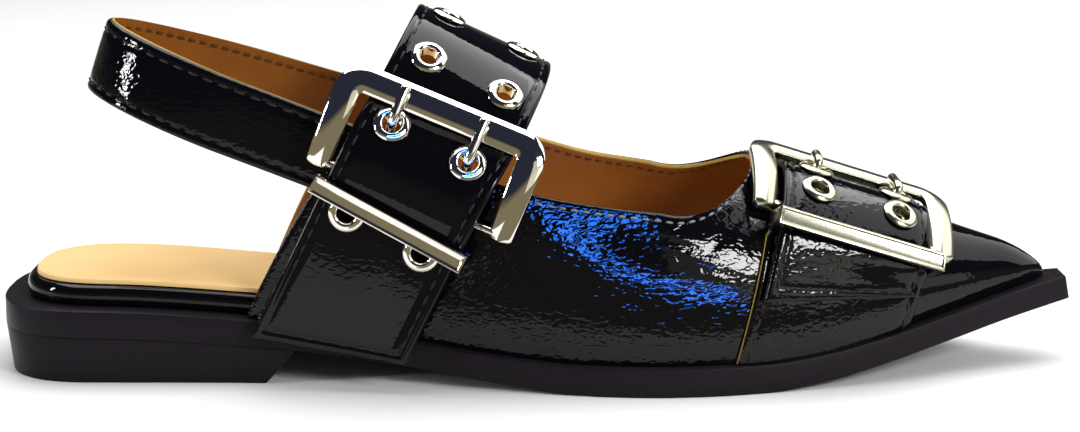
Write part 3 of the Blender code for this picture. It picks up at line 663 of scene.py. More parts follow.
def heel_stations(inset, steps):
    """Stations gathered towards the back of the heel."""
    reach = HEEL_ROUND - HEEL_INSET_SHARE * inset
    turns = [math.radians(mix(HEEL_FIRST_TURN, 90.0, share)) for share in shares(steps, True)]
    return [inset + reach * (1 - math.cos(turn) ** (2 / HEEL_POWER)) for turn in turns]


def plan_row(station, inset, height, steps, back_inset=None):
    """Points across the sole at one station."""
    back = inset if back_inset is None else back_inset
    turn = heel_turn(station, back)
    left = -(sole_half[LATERAL](station) - inset) * turn
    right = (sole_half[MEDIAL](station) - inset) * turn
    return [np.array([station, mix(left, right, share), height]) for share in shares(steps, True)]


def sole_slope(station):
    ahead = min(station + SLOPE_STEP, SOLE_END)
    behind = max(station - SLOPE_STEP, 0.0)
    return math.atan((sole_top(ahead) - sole_top(behind)) / (ahead - behind))


def sole_under(station):
    """Height of the bottom of the outsole below a station."""
    return sole_top(station) - sole_thick(station) * math.cos(sole_slope(station))


def make_outsole(materials):
    stations = heel_stations(0.0, HEEL_STEPS)
    stations += list(np.arange(stations[-1] + SOLE_PITCH, SOLE_END - 1, SOLE_PITCH)) + [SOLE_END]
    top = [plan_row(s, 0.0, sole_top(s), SOLE_ACROSS) for s in stations]
    bottom = []
    for s, row in zip(stations, top):
        slope = sole_slope(s)
        drop = np.array([math.sin(slope), 0.0, -math.cos(slope)]) * sole_thick(s)
        bottom.append([point + drop for point in row])
    faces = stack_faces([bottom, top])
    add_piece("shown_outsole", faces, [materials["sole"]], ["outsole"], edge=SOLE_EDGE)


def make_heel(materials):
    back = [s / HEEL_FRONT_TOP for s in heel_stations(0.0, HEEL_STEPS)]
    front_shift = HEEL_FRONT_TOP - HEEL_FRONT_BOTTOM
    top = []
    bottom = []
    for share in back + [mix(back[-1], 1.0, step) for step in shares(HEEL_SIDE_STEPS, True)[1:]]:
        upper_row = plan_row(share * HEEL_FRONT_TOP, 0.0, 0.0, HEEL_ACROSS)
        lower_row = []
        for point in upper_row:
            half = sole_half[LATERAL](point[0])
            point[0] -= HEEL_HOLLOW * (1 - (point[1] / half) ** 2) * share ** HEEL_HOLLOW_POWER
            point[2] = sole_under(point[0]) - HEEL_JOIN
            foot = mix(point[0] + HEEL_TAPER, point[0] - front_shift, share ** HEEL_LEAN_POWER)
            inward = 1 - HEEL_TAPER / sole_half[LATERAL](point[0])
            lower_row.append(np.array([foot, point[1] * inward, 0.0]))
        top.append(upper_row)
        bottom.append(lower_row)
    faces = stack_faces([bottom, top])
    add_piece("shown_heel", faces, [materials["sole"]], ["heel"], edge=HEEL_EDGE)


def footbed_inset(station):
    return upper_inset(station) + WALL + 2 * GAP


def footbed_layer(extra, height, end):
    back = footbed_inset(0.0) + extra
    stations = heel_stations(back, HEEL_STEPS)
    last = end - extra
    stations += list(np.arange(stations[-1] + SOLE_PITCH, last - 1, SOLE_PITCH)) + [last]
    return [plan_row(s, footbed_inset(s) + extra, height(s), SOLE_ACROSS, back) for s in stations]


def board_bottom(station):
    return sole_top(station) + GAP


def board_top(station):
    return board_bottom(station) + board_thick(station)


def make_insole_board(materials):
    layers = []
    for inset, share in BOARD_ROLL_ROWS:
        layers.append(footbed_layer(inset, lambda s: mix(board_bottom(s), board_top(s), share), BOARD_END))
    add_piece("shown_board", stack_faces(layers), [materials["rim"]], ["insole_board"])


def make_insole_sock(materials):
    layers = []
    for inset, share in SOCK_ROLL_ROWS:
        lift = GAP + share * SOCK_THICK
        layers.append(footbed_layer(SOCK_INSET + inset, lambda s: board_top(s) + lift, BOARD_END))
    add_piece("shown_sock", stack_faces(layers), [materials["insole"]], ["insole_sock"])


# Upper
def feather(side, station):
    """Half width of the upper where it meets the sole."""
    half = sole_half[side](station) - upper_inset(station)
    past = max(0.0, (station - UPPER_TIP + TIP_ROUND) / TIP_ROUND)
    return half * math.sqrt(max(0.0, 1 - past * past))


def last_point(side, station, rise):
    """Outside of the upper: rise 0 is at the sole and rise 1 on the ridge."""
    base = sole_top(station) + GAP
    past = max(0.0, (station - UPPER_TIP + CAP_LENGTH) / CAP_LENGTH)
    cap = max(0.0, 1 - past ** CAP_POWER) ** (1 / CAP_POWER)
    height = (ridge_height(station) - base) * cap
    foot = feather(side, station)
    middle = side * ridge_shift(station) * cap
    swell = side_swell(station) * cap
    across = (foot, foot + swell, mix(middle, foot, crown_share(station)), middle)
    up = (0.0, side_share(station) * height, height, height)
    back = 1 - rise
    weight = (back ** 3, 3 * back * back * rise, 3 * back * rise * rise, rise ** 3)
    y = side * sum(w * a for w, a in zip(weight, across))
    z = base + sum(w * u for w, u in zip(weight, up))
    return np.array([station, y, z])


def last_normal(side, station, rise):
    """Outward direction of the last."""
    station = min(station, UPPER_TIP - TIP_MARGIN)
    ahead, behind = [last_point(side, station + step, rise) for step in (NORMAL_STEP, -NORMAL_STEP)]
    along = ahead - behind
    if rise >= 1.0:
        return unit(np.array([-along[2], 0.0, along[0]]))
    low = max(0.0, rise - NORMAL_RISE)
    high = min(1.0, rise + NORMAL_RISE)
    upward = last_point(side, station, high) - last_point(side, station, low)
    return unit(np.cross(along, upward)) * -side


def rise_at(side, station, height):
    low, high = 0.0, 1.0
    for _ in range(HALVINGS):
        middle = (low + high) / 2
        if last_point(side, station, middle)[2] < height:
            low = middle
        else:
            high = middle
    return low


def wall_ends(side):
    """Each line up the wall: station at the foot, station and rise at the top."""
    lines = []
    for share in shares(OPEN_STEPS):
        top = mix(QUARTER_TOP, TURN_TOP, share)
        lines.append((mix(QUARTER_FOOT, TURN_FOOT, share), top, rise_at(side, top, topline[side](top))))
    turn_rise = rise_at(side, TURN_TOP, topline[side](TURN_TOP))
    for share in shares(THROAT_STEPS):
        turn = share * math.pi / 2
        top = mix(TURN_TOP, THROAT, math.sin(turn))
        lines.append((mix(TURN_FOOT, THROAT_FOOT, share), top, mix(turn_rise, 1.0, 1 - math.cos(turn))))
    toe_start = UPPER_TIP - CAP_LENGTH
    for share in shares(VAMP_STEPS):
        lines.append((mix(THROAT_FOOT, toe_start, share), mix(THROAT, toe_start, share), 1.0))
    for share in shares(TOE_STEPS, True):
        station = toe_start + CAP_LENGTH * math.sin(share * math.pi / 2)
        lines.append((station, station, 1.0))
    return lines


def crease_height(side, point):
    """Depth of the soft creases at a point of the upper."""
    total = 0.0
    for crease_side, station, height, lean, half_length, half_width, depth in CREASE_ROWS:
        if crease_side != side:
            continue
        turn = math.radians(lean)
        dx = point[0] - station
        dz = point[2] - height
        along = (dx * math.cos(turn) + dz * math.sin(turn)) / half_length
        beside = (dz * math.cos(turn) - dx * math.sin(turn)) / half_width
        total += depth * math.exp(-along * along - beside * beside)
    return total


def wall_grids(side):
    """Outside and inside of one half of the upper."""
    outside = []
    inside = []
    for foot, top, top_rise in wall_ends(side):
        outer_row = []
        inner_row = []
        for share in shares(WALL_STEPS, True):
            station = mix(foot, top, share)
            rise = top_rise * share
            point = last_point(side, station, rise)
            normal = last_normal(side, station, rise)
            if foot >= UPPER_TIP:
                normal = np.array([1.0, 0.0, 0.0])
            if share == 0:
                normal = unit(normal * np.array([1.0, 1.0, 0.0]))
            point = point + normal * crease_height(side, point)
            inner = point - normal * WALL
            if share == 0:
                inner[2] = sole_top(inner[0]) + GAP
            outer_row.append(point)
            inner_row.append(inner)
        outside.append(outer_row)
        inside.append(inner_row)
    return outside, inside


def rim_lines(outer_line, inner_line, beyond_line):
    """Rounded cut edge between the outside and the lining, as lines of points."""
    lines = []
    for share in shares(RIM_STEPS, True):
        swell = RIM_ROUND * math.sin(share * math.pi)
        rows = zip(outer_line, inner_line, beyond_line)
        lines.append([mix(outer, inner, share) + beyond * swell for outer, inner, beyond in rows])
    return lines


def seam_between(line, below):
    """A seam with the ways out of the surface that it lies on."""
    return line, [unit(a - b) for a, b in zip(line, below)]


def turned_seams(seams, thick):
    """The same seams on the other face of a sheet."""
    return [([p - n * thick for p, n in zip(*seam)], [-n for n in seam[1]]) for seam in seams]


def collar_seam(side):
    """Stitch line a little below the top edge of one side, with its normals."""
    path = []
    outs = []
    for foot, top, top_rise in wall_ends(side)[:OPEN_STEPS + THROAT_STEPS]:
        length = np.linalg.norm(last_point(side, top, top_rise) - last_point(side, foot, 0.0))
        share = 1 - STITCH_INSET / length
        path.append(last_point(side, mix(foot, top, share), top_rise * share))
        outs.append(last_normal(side, mix(foot, top, share), top_rise * share))
    return path, outs


def make_upper(materials):
    faces = []
    marks = []
    seams = []

    def take(new_faces, mark):
        faces.extend(new_faces)
        marks.extend([mark] * len(new_faces))

    open_count = OPEN_STEPS + THROAT_STEPS + 1
    for side in (LATERAL, MEDIAL):
        outside, inside = wall_grids(side)
        take(sheet_faces(outside), 0)
        take(sheet_faces(inside), 1)
        take(sheet_faces([[row[0] for row in outside], [row[0] for row in inside]]), 1)
        tops = [[row[-1] for row in grid[:open_count]] for grid in (outside, inside)]
        beyond = [unit(row[-1] - row[-2]) for row in outside[:open_count]]
        collar = rim_lines(*tops, beyond)
        beyond = [unit(a - b) for a, b in zip(outside[0], outside[1])]
        rear = rim_lines(outside[0], inside[0], beyond)
        for edge in (collar, rear):
            half = RIM_STEPS // 2
            take(sheet_faces(edge[:half + 1]), 0)
            take(sheet_faces(edge[half:]), 2)
        seams.append(collar_seam(side))
    make_stitches("collar_stitches", seams, materials["collar_thread"], FINE_PITCH, FINE_LONG)
    turned = turned_seams(seams, WALL)
    make_stitches("lining_stitches", turned, materials["lining_thread"], FINE_PITCH, FINE_LONG)
    looks = [materials["patent"], materials["lining"], materials["raw_edge"]]
    add_piece("shown_upper", faces, looks, ["upper"], marks, sharp=UPPER_SHARP)


# Sling band
def sling_middle(side, station):
    return SLING_BACK_HEIGHT - SLING_DROP[side] * (station - SLING_BACK)


def sling_side(side, station, height):
    """Outside of the sling band where it lies along the inside of the quarter."""
    point = last_point(side, station, rise_at(side, station, height))
    return point[1] - side * (WALL + 2 * GAP)


def band_places(half):
    """Offsets across a band, gathered at its edges."""
    near = [half - place for place in EDGE_PLACES]
    inner = near[-1]
    middle = [mix(-inner, inner, share) for share in shares(BAND_MIDDLE_STEPS)[1:]]
    return [-place for place in near] + middle + list(reversed(near))


def sling_point(side, station, share, offset, depth):
    """Point of the band; share is 0 at the back and 1 along the side."""
    x = station + offset * math.sin(SLING_LEAN)
    z = sling_middle(side, station) + offset * math.cos(SLING_LEAN)
    wide = abs(sling_side(side, max(SLING_SIDE, station), z))
    turn = share * math.pi / 2
    inward = np.array([math.cos(turn), -side * math.sin(turn), 0.0]) * depth
    return np.array([x, side * wide * math.sin(turn), z]) + inward


def sling_stations():
    """Side, station and share of each column, from one lap round to the other."""
    reach = SLING_SIDE - SLING_BACK
    half = [(mix(SLING_LAP, SLING_SIDE, share), 1.0) for share in shares(SLING_SIDE_STEPS)]
    for step in shares(SLING_TURN_STEPS):
        share = 1 - step
        half.append((SLING_SIDE - reach * math.cos(share * math.pi / 2), share))
    columns = [(LATERAL, *place) for place in half] + [(LATERAL, SLING_BACK, 0.0)]
    return columns + [(MEDIAL, *place) for place in reversed(half)]


def make_sling(materials):
    places = band_places(SLING_HALF)
    over = []
    under = []
    for side, station, share in sling_stations():
        depths = [-edge_height(SLING_HALF - abs(offset)) for offset in places]
        over.append([sling_point(side, station, share, o, d) for o, d in zip(places, depths)])
        under.append([sling_point(side, station, share, o, SLING_THICK) for o in places])
    faces, marks = band_faces(under, over, SLING_RAW_SHARE)
    looks = [materials[key] for key in ("patent", "lining", "black_edge", "raw_edge")]
    add_piece("shown_sling", faces, looks, ["sling_strap"], marks)
    seams = []
    for offset in (STITCH_INSET - SLING_HALF, SLING_HALF - STITCH_INSET):
        line = [sling_point(*column, offset, -edge_height(STITCH_INSET)) for column in sling_stations()]
        inner = [sling_point(*column, offset, SLING_THICK) for column in sling_stations()]
        seams.append(seam_between(line, inner))
    make_stitches("sling_stitches", seams, materials["thread"])
    turned = turned_seams(seams, SLING_THICK)
    make_stitches("sling_lining_stitches", turned, materials["lining_thread"], FINE_PITCH, FINE_LONG)


# Straps
def lean_axes(strap):
    """Across the strap and up the strap, seen from the side."""
    lean = STRAPS[strap]["lean"]
    across = np.array([math.cos(lean), 0.0, -math.sin(lean)])
    upward = np.array([math.sin(lean), 0.0, math.cos(lean)])
    return across, upward


def band_base(strap, turn, offset):
    """Point and normal of the last; turn runs -1 lateral, 0 ridge, +1 medial."""
    across, _ = lean_axes(strap)
    row = STRAPS[strap]
    side = LATERAL if turn < 0 else MEDIAL
    rise = 1 - abs(turn)
    station = row["station"]
    for _ in range(SOLVE_STEPS):
        point = last_point(side, station, rise)
        above = point[2] - row["height"]
        error = (station - row["station"]) * across[0] + above * (across[2] - row["sway"]) - offset
        station -= SOLVE_SHARE * error / across[0]
        if abs(error) < SOLVE_NEAR:
            break
    normal = last_normal(side, station, rise)
    if rise <= 0.0:
        normal = unit(normal * np.array([1.0, 1.0, 0.0]))
    return last_point(side, station, rise), normal


MEASURES = {}


def running(points):
    """Distance from the start of a line to each of its points."""
    return np.concatenate([[0.0], np.cumsum(np.linalg.norm(np.diff(points, axis=0), axis=1))])


def measured(strap, offset):
    """One line of the band: turns, distances from the pin, heights and fall, -1 level with the pin."""
    key = (strap, round(offset, 2))
    if key not in MEASURES:
        turns = np.linspace(-1.0, 1.0, BAND_SAMPLES)
        points = np.array([band_base(strap, turn, offset)[0] for turn in turns])
        heights = points[:, 2]
        run = running(points)
        lateral = turns < 0
        run = run - np.interp(STRAPS[strap]["height"], heights[lateral], run[lateral])
        _, upward = lean_axes(strap)
        level = points @ upward
        top = np.interp(0.0, turns, level)
        pin_level = STRAPS[strap]["station"] * upward[0] + STRAPS[strap]["height"] * upward[2]
        fall = np.sign(turns) * np.sqrt(np.maximum(0.0, top - level) / (top - pin_level))
        MEASURES[key] = (turns, run, heights, fall)
    return MEASURES[key]


def turn_at(strap, from_pin, offset):
    """Turn on one line of the band, level across the band with a place on its middle line."""
    _, run, _, fall = measured(strap, 0.0)
    turns, _, _, own_fall = measured(strap, offset)
    return float(np.interp(np.interp(from_pin, run, fall), own_fall, turns))


def raised(strap, turn, offset, lift):
    base, normal = band_base(strap, turn, offset)
    return base + normal * lift


def lifted(strap, from_pin, offset, lift):
    return raised(strap, turn_at(strap, from_pin, offset), offset, lift)


def strap_point(strap, from_pin, offset, height):
    """Point of the strap at a height above its inner face; a free end may hang straight."""
    row = STRAPS[strap]
    at = max(from_pin, row["low"]) if row["hangs"] else from_pin
    point = lifted(strap, at, offset, strap_lift(at) + height)
    if at > from_pin:
        _, upward = lean_axes(strap)
        point = point - upward * (at - from_pin)
    return point


def strap_axes(strap, from_pin, offset, height):
    """Point on the strap with its normal, the way across and the way up."""
    point = strap_point(strap, from_pin, offset, height)
    ahead, behind = [strap_point(strap, from_pin, offset + step, height) for step in (1, -1)]
    above, below = [strap_point(strap, from_pin + step, offset, height) for step in (1, -1)]
    across = unit(ahead - behind)
    normal = unit(np.cross(across, above - below))
    return point, normal, across, np.cross(normal, across)


def end_steps(length):
    """Shares of the free end, gathered near its edge."""
    body = length - EDGE_PLACES[-1]
    count = int(body / STRAP_PITCH)
    steps = [share * body / length for share in shares(count)]
    return steps + [1 - place / length for place in reversed(EDGE_PLACES)]


def end_length(strap):
    row = STRAPS[strap]
    low = strap_point(strap, row["low"], 0.0, 0.0)
    _, upward = lean_axes(strap)
    return (low[2] - (row["end_rear"] + row["end_front"]) / 2) / upward[2]


def free_end(strap, offset, share, heights):
    """Points from the low row to the free end, on one line of the strap."""
    row = STRAPS[strap]
    end = mix(row["end_rear"], row["end_front"], share)
    steps = end_steps(end_length(strap))
    if row["hangs"]:
        _, upward = lean_axes(strap)
        points = []
        for step, height in zip(steps, heights):
            low = strap_point(strap, row["low"], offset, height)
            points.append(low - upward * ((low[2] - end) / upward[2] * step))
        return points
    turns, _, levels, _ = measured(strap, offset)
    lateral = turns < 0
    start_turn = turn_at(strap, row["low"], offset)
    end_turn = float(np.interp(end, levels[lateral], turns[lateral]))
    points = []
    for step, height in zip(steps, heights):
        lift = strap_lift(mix(row["low"], LIFT_ROWS[0][0], step)) + height
        points.append(raised(strap, mix(start_turn, end_turn, step), offset, lift))
    return points


def strap_line(strap, offset, surface):
    """Points along the strap at one offset, medial end first; surface gives the height at an inset."""
    row = STRAPS[strap]
    side_inset = STRAP_HALF - abs(offset)
    ridge = float(np.interp(0.0, measured(strap, 0.0)[0], measured(strap, 0.0)[1]))
    turns, _, _, fall = measured(strap, offset)
    height = surface(side_inset)
    points = []
    for share in shares(row["medial_steps"]):
        turn = np.interp(mix(fall[-1], 0.0, share), fall, turns)
        points.append(raised(strap, turn, offset, LIFT_ROWS[-1][1] + height))
    for share in shares(int((ridge - row["low"]) / STRAP_PITCH)):
        points.append(strap_point(strap, mix(ridge, row["low"], share), offset, height))
    length = end_length(strap)
    heights = [surface(min(side_inset, (1 - step) * length)) for step in end_steps(length)]
    share = (offset + STRAP_HALF) / (2 * STRAP_HALF)
    return points + free_end(strap, offset, share, heights)


def inner_face(inset):
    return 0.0


def outer_face(inset):
    return STRAP_THICK + edge_height(inset)


def strap_grid(strap, surface):
    lines = [strap_line(strap, offset, surface) for offset in band_places(STRAP_HALF)]
    return [list(row) for row in zip(*lines)]


def eyelet_places(strap):
    return [(at, offset) for at in STRAPS[strap]["rows"] for offset in (-EYELET_PAIR, EYELET_PAIR)]


def rod_faces(path, radii, sides, turn_axis):
    """Round rod along a path that bends about one axis."""
    rings = []
    for k, point in enumerate(path):
        ahead = unit(path[min(k + 1, len(path) - 1)] - path[max(k - 1, 0)])
        out = unit(np.cross(turn_axis, ahead))
        rings.append(round_ring(point, turn_axis, out, radii[k], sides))
    return tube_faces(rings)


def cut_holes(piece, strap):
    """Cut the eyelet holes through a finished strap."""
    faces = []
    for at, offset in eyelet_places(strap):
        origin, normal, first, _ = strap_axes(strap, at, offset, STRAP_THICK)
        path = [origin - normal * CUTTER_REACH, origin + normal * CUTTER_REACH]
        faces += rod_faces(path, [HOLE_RADIUS] * 2, EYELET_SIDES, first)
    build = joined_faces(faces)
    bmesh.ops.recalc_face_normals(build, faces=build.faces)
    cutter = add_object("hole_cutter", finished_mesh("hole_cutter", build))
    cut = piece.modifiers.new("holes", "BOOLEAN")
    cut.operation = "DIFFERENCE"
    cut.solver = "EXACT"
    cut.object = cutter
    shown = piece.evaluated_get(bpy.context.evaluated_depsgraph_get())
    done = bpy.data.meshes.new_from_object(shown)
    piece.modifiers.clear()
    piece.data = done
    bpy.data.objects.remove(cutter, do_unlink=True)


def strap_seam(grid):
    """Line of a seam along both edges and across the free end."""
    column = EDGE_PLACES.index(STITCH_INSET)
    last_row = len(grid) - 1 - column
    rear = [row[column] for row in grid[:last_row + 1]]
    front = [row[-1 - column] for row in grid[:last_row + 1]]
    across = grid[last_row][column + 1:-1 - column]
    return rear + across + list(reversed(front))


def make_strap(strap, materials):
    under = strap_grid(strap, inner_face)
    over = strap_grid(strap, outer_face)
    faces, marks = band_faces(under, over)
    looks = [materials[key] for key in (f"{strap}_strap", "lining", "black_edge")]
    piece = add_piece(f"shown_{strap}_strap", faces, looks, [f"{strap}_strap"], marks)
    cut_holes(piece, strap)
    seams = [seam_between(strap_seam(over), strap_seam(under))]
    make_stitches(f"{strap}_strap_stitches", seams, materials["thread"])


def tab_grid(strap, inner):
    """Band from the sole to just over the pin, narrower at the pin."""
    grid = []
    for share in shares(TAB_STEPS, True):
        neck = clamp((share - TAB_NECK) / TAB_NECK_SPAN)
        half = STRAP_HALF + mix(STRAPS[strap]["tab_extra"], TAB_NECK_EXTRA, neck)
        row = []
        for offset in band_places(half):
            height = 0.0 if inner else TAB_THICK + TAB_EDGE_SHARE * edge_height(half - abs(offset))
            turn = mix(-1.0, turn_at(strap, TAB_OVER_PIN, offset), share)
            row.append(raised(strap, turn, offset, TAB_LIFT + height))
        grid.append(row)
    return grid


def make_tab(strap, materials):
    under = tab_grid(strap, True)
    over = tab_grid(strap, False)
    faces, marks = band_faces(under, over)
    edge = "raw_edge" if strap == "vamp" else "black_edge"
    looks = [materials[key] for key in ("patent", "lining", edge)]
    add_piece(f"shown_{strap}_tab", faces, looks, [f"{strap}_tab"], marks)
    column = EDGE_PLACES.index(STITCH_INSET)
    seams = []
    for place in (column, -1 - column):
        seams.append(seam_between([row[place] for row in over], [row[place] for row in under]))
    make_stitches(f"{strap}_tab_stitches", seams, materials["thread"])


def stitch_faces(centre, along, out, long):
    """One thread of a seam, lying on the surface."""
    beside = np.cross(out, along)
    rings = []
    for place, thick in STITCH_ROWS:
        middle = centre + along * place * long / 2 - out * STITCH_HALF * place * place
        rings.append(round_ring(middle, beside, out, STITCH_HALF * thick, STITCH_SIDES))
    return tube_faces(rings)


def make_stitches(name, seams, thread, pitch=STITCH_PITCH, long=STITCH_LONG):
    faces = []
    for path, outs in seams:
        points = np.array(path)
        normals = np.array(outs)
        run = running(points)
        for at in np.arange(pitch / 2, run[-1] - pitch / 2, pitch):
            places = [at - long / 2, at, at + long / 2]
            ends = [np.array([np.interp(p, run, points[:, i]) for i in range(3)]) for p in places]
            out = unit(np.array([np.interp(at, run, normals[:, i]) for i in range(3)]))
            along = ends[2] - ends[0]
            along = unit(along - out * np.dot(along, out))
            faces += stitch_faces(ends[1] + out * STITCH_HALF * STITCH_RISE, along, out, long)
    add_piece(name, faces, [thread], sharp=THREAD_SHARP)


# Buckles, prongs, keepers and eyelets
def buckle_axes(strap):
    """Origin on the hinge pin, up the frame, across it and out of it."""
    row = STRAPS[strap]
    corners = {}
    for name, at, lift in (("pin", 0.0, row["pin_lift"]), ("bar", BAR_AT, row["bar_lift"])):
        corners[name] = [lifted(strap, at, sign * ARM_AT_PIN, lift) for sign in (-1, 1)]
    origin = (corners["pin"][0] + corners["pin"][1]) / 2
    upward = unit((corners["bar"][0] + corners["bar"][1]) / 2 - origin)
    across = corners["pin"][1] - corners["pin"][0]
    across = unit(across - upward * np.dot(across, upward))
    origin = origin + across * row["frame_shift"]
    turn = row["frame_turn"]
    upward, across = (
        upward * math.cos(turn) + across * math.sin(turn),
        across * math.cos(turn) - upward * math.sin(turn),
    )
    return origin, upward, across, np.cross(across, upward)


def frame_path():
    """Middle line of the frame as places up and across."""
    half = []
    for share in shares(ARM_END_STEPS):
        half.append((ARM_END * (1 - math.cos(share * math.pi / 2)) - ARM_TAIL, ARM_AT_PIN))
    for share in shares(ARM_STEPS):
        half.append((mix(ARM_END - ARM_TAIL, BAR_AT - CORNER, share), mix(ARM_AT_PIN, ARM_AT_BAR, share)))
    for share in shares(CORNER_STEPS, True):
        angle = share * math.pi / 2
        up = BAR_AT - CORNER + CORNER * math.sin(angle)
        half.append((up, ARM_AT_BAR - CORNER + CORNER * math.cos(angle)))
    return [(up, -over) for up, over in half] + list(reversed(half))


def frame_bow(up):
    """How far the frame arches out between its pin and its bar."""
    return FRAME_BOW * (1 - (2 * up / BAR_AT - 1) ** 2)


def bar_profile(strap, up):
    """Domed section of the frame as places across the bar and out of it; it narrows to a round end."""
    from_end = clamp((up + ARM_TAIL) / ARM_END)
    outer = BAR_WIDE / 2 * mix(ARM_END_SHARE, 1.0, math.sqrt(1 - (1 - from_end) ** 2))
    inner = outer + STRAPS[strap]["bar_inner_extra"] * clamp(up / (BAR_AT - CORNER))
    deep = BAR_THICK / 2
    points = [(-outer, -deep), (inner, -deep)]
    for share in shares(BAR_DOME_STEPS, True):
        across = 1 - 2 * share
        points.append((mix(-outer, inner, (across + 1) / 2), deep - BAR_BEVEL * across * across))
    return points


def make_buckle(strap, materials):
    origin, upward, across, outward = buckle_axes(strap)
    path = [np.array(place) for place in frame_path()]
    rings = []
    for k, place in enumerate(path):
        before = unit(place - path[k - 1]) if k > 0 else unit(path[1] - place)
        after = unit(path[k + 1] - place) if k + 1 < len(path) else before
        ahead = unit(before + after)
        beside = np.array([-ahead[1], ahead[0]]) / np.dot(ahead, before)
        ring = []
        for wide, out in bar_profile(strap, place[0]):
            up, over = place + beside * wide
            ring.append(origin + upward * up + across * over + outward * (out + frame_bow(up)))
        rings.append(ring)
    add_metal(strap, "buckle", tube_faces(rings), materials, "buckle", FRAME_EDGE, METAL_SHARP)
    ends = [origin - across * ARM_AT_PIN, origin + across * ARM_AT_PIN]
    pin = rod_faces(ends, [PIN_RADIUS] * 2, PRONG_SIDES, upward)
    add_metal(strap, "pin", pin, materials, "buckle")


def soften(path):
    """Round the corners of a path and keep its ends."""
    for _ in range(PRONG_SOFTENING):
        points = [path[0]]
        for here, there in zip(path, path[1:]):
            points += [mix(here, there, PRONG_CUT), mix(here, there, 1 - PRONG_CUT)]
        path = points + [path[-1]]
    return path


def make_prongs(strap, materials):
    origin, upward, across, outward = buckle_axes(strap)
    over = BAR_THICK / 2 + GAP + PRONG_RADIUS
    under = STRAP_THICK + GAP + PRONG_RADIUS
    for name, offset in (("rear", -EYELET_PAIR), ("front", EYELET_PAIR)):
        hole_at = STRAPS[strap]["rows"][ENGAGED_ROW]
        hole, normal, _, along = strap_axes(strap, hole_at, offset, STRAP_THICK)
        approach, below, _, _ = strap_axes(strap, hole_at / 2, offset, STRAP_THICK)
        beside = origin + across * np.dot(hole - origin, across)
        path = [beside + upward * (PIN_RADIUS + GAP + PRONG_RADIUS), approach - below * under]
        path += [hole + along * ahead + normal * height for ahead, height in PRONG_ROWS]
        bar_start = BAR_AT - BAR_WIDE / 2 - STRAPS[strap]["bar_inner_extra"]
        for up in (bar_start, BAR_AT + STRAPS[strap]["prong_past_bar"]):
            path.append(beside + upward * up + outward * (over + frame_bow(up)))
        path = soften(path)
        ahead = unit(path[-1] - path[-2])
        end = path[-1] - ahead * PRONG_RADIUS
        clear = PRONG_TIP_CLEAR * PRONG_RADIUS
        path = [p for p in path if np.dot(p - end, ahead) < 0 or np.linalg.norm(p - end) > clear]
        radii = [PRONG_RADIUS] * len(path)
        for share in shares(PRONG_TIP_STEPS, True):
            angle = share * PRONG_TIP_TURN
            path.append(end + ahead * PRONG_RADIUS * math.sin(angle))
            radii.append(PRONG_RADIUS * math.cos(angle))
        faces = rod_faces(path, radii, PRONG_SIDES, across)
        add_metal(strap, f"prong_{name}", faces, materials, f"prong_{name}")


def make_keeper(strap, materials):
    at = STRAPS[strap]["keeper_at"]
    over_strap = STRAP_THICK + KEEPER_CLEAR
    ends = [strap_point(strap, at, sign * STRAP_HALF, over_strap) for sign in (-1, 1)]
    middle, normal, _, _ = strap_axes(strap, at, 0.0, over_strap)
    across = unit(ends[1] - ends[0])
    upward = unit(np.cross(normal, across))
    normal = np.cross(across, upward)
    origin = (ends[0] + ends[1]) / 2
    origin = origin + normal * max(0.0, np.dot(middle - origin, normal))
    inner = np.linalg.norm(ends[1] - ends[0]) / 2 + KEEPER_SIDE
    half = inner + KEEPER_LEG
    feet = []
    for sign in (-1, 1):
        reach = lifted(strap, at, sign * (inner + half) / 2, KEEPER_FOOT)
        feet.append(np.dot(reach - origin, normal))
    section = [
        (half, KEEPER_THICK), (half, feet[1]), (inner, feet[1]), (inner, 0.0), (-inner, 0.0),
        (-inner, feet[0]), (-half, feet[0]), (-half, KEEPER_THICK),
    ]

    def place(over, up, out):
        return origin + across * over + upward * up + normal * out

    wide = KEEPER_WIDE / 2
    sides = [[place(over, up, out) for over, out in section] for up in (-wide, wide)]
    faces = [sides[0], sides[1]]
    for k in range(len(section) - 1):
        faces.append([sides[0][k], sides[0][k + 1], sides[1][k + 1], sides[1][k]])
    plates = []
    for inset, out in ((0.0, 0.0), (KEEPER_RIM, 0.0), (KEEPER_RIM + KEEPER_DISH, -KEEPER_DISH)):
        a, b = half - inset, wide - inset
        corners = [(-a, -b), (a, -b), (a, b), (-a, b)]
        plates.append([place(over, up, KEEPER_THICK + out) for over, up in corners])
    faces += ring_faces(plates[0], plates[1]) + ring_faces(plates[1], plates[2]) + [plates[2]]
    add_metal(strap, "keeper", faces, materials, "keeper", KEEPER_EDGE, METAL_SHARP)


def make_eyelets(strap, materials):
    for number, (at, offset) in enumerate(eyelet_places(strap), start=1):
        origin, normal, first, second = strap_axes(strap, at, offset, STRAP_THICK)
        rings = []
        for radius, height in EYELET_ROWS:
            rings.append(round_ring(origin + normal * height, first, second, radius, EYELET_SIDES))
        faces = []
        for ring, following in zip(rings, rings[1:] + rings[:1]):
            faces += ring_faces(ring, following)
        add_metal(strap, f"eyelet_{number}", faces, materials, f"eyelet_{number}")


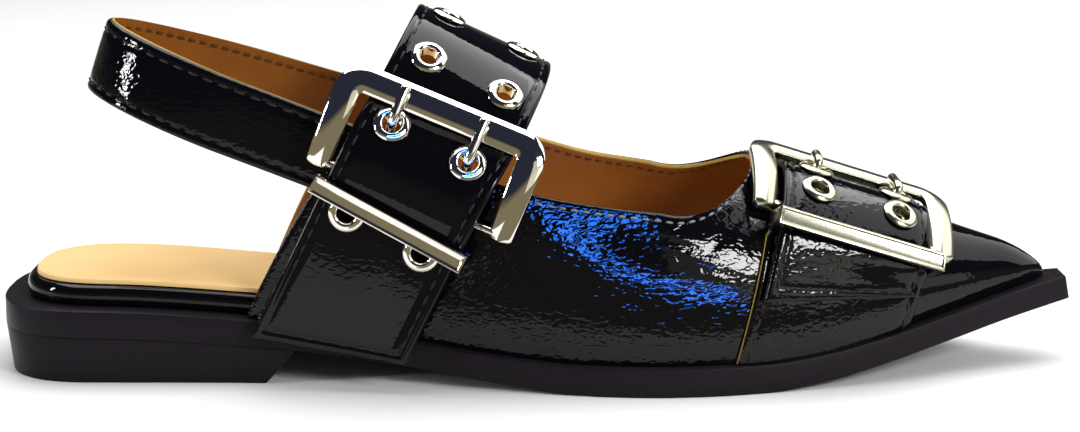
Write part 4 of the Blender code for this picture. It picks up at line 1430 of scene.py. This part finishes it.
# Stage
def make_floor():
    """One plain floor in two halves; the half in front of the shoe isn't mirrored in the gloss."""
    material = plain_material("pale_floor", FLOOR_PALE, FLOOR_ROUGH, FLOOR_SPECULAR)
    r = FLOOR_REACH
    for name, far in (("floor_front", -r), ("floor_back", r)):
        corners = [(x, y, 0.0) for x, y in FLOOR_JOIN_ROWS] + [(r, far, 0.0), (-r, far, 0.0)]
        if far < 0:
            corners.reverse()
        mesh = bpy.data.meshes.new(name)
        mesh.from_pydata(corners, [], [range(len(corners))])
        mesh.materials.append(material)
        floor = add_object(name, mesh)
        floor.visible_glossy = name == "floor_back"


def aim(thing, target, roll=0.0):
    direction = Vector(target) - thing.location
    rolled = Quaternion((0.0, 0.0, 1.0), math.radians(roll))
    thing.rotation_euler = (direction.to_track_quat("-Z", "Y") @ rolled).to_euler()


def make_lights():
    """Lamps of the table; those that don't light the floor show in the gloss of the patent alone."""
    lit = bpy.data.collections.new("with_blue")
    for name in WITH_BLUE:
        lit.objects.link(bpy.data.objects[name])
    for name, x, y, z, wide, tall, roll, power, lights_floor, colour in LIGHT_ROWS:
        lamp = bpy.data.lights.new(name, "AREA")
        lamp.shape = "RECTANGLE"
        lamp.size = wide
        lamp.size_y = tall
        lamp.energy = power
        lamp.color = colour
        thing = add_object(name, lamp)
        thing.visible_diffuse = lights_floor
        thing.visible_camera = False
        thing.location = (x, y, z)
        aim(thing, CAMERA_TARGET, roll)
        if not lights_floor:
            thing.light_linking.receiver_collection = lit


def make_world():
    world = bpy.data.worlds.new("studio")
    world.use_nodes = True
    tree = world.node_tree
    place = add_node(tree, "ShaderNodeTexCoord")
    split = add_node(tree, "ShaderNodeSeparateXYZ")
    tree.links.new(place.outputs["Generated"], split.inputs["Vector"])
    colour = colour_between(tree, split.outputs["Z"], WORLD_LOW, WORLD_HIGH, *WORLD_FADE)
    tree.links.new(colour, tree.nodes["Background"].inputs["Color"])
    bpy.context.scene.world = world
    bpy.context.scene.view_settings.view_transform = "Standard"


def make_camera():
    lens = bpy.data.cameras.new("camera")
    lens.lens = CAMERA_LENS
    lens.sensor_width = CAMERA_SENSOR
    camera = add_object("camera", lens)
    camera.location = CAMERA_AT
    aim(camera, CAMERA_TARGET)
    bpy.context.scene.camera = camera


def main():
    materials = make_materials()
    for make in (make_outsole, make_heel, make_insole_board, make_insole_sock, make_upper, make_sling):
        make(materials)
    for strap in STRAPS:
        for make in (make_strap, make_tab, make_buckle, make_prongs, make_keeper, make_eyelets):
            make(strap, materials)
    make_floor()
    make_lights()
    make_world()
    make_camera()


main()
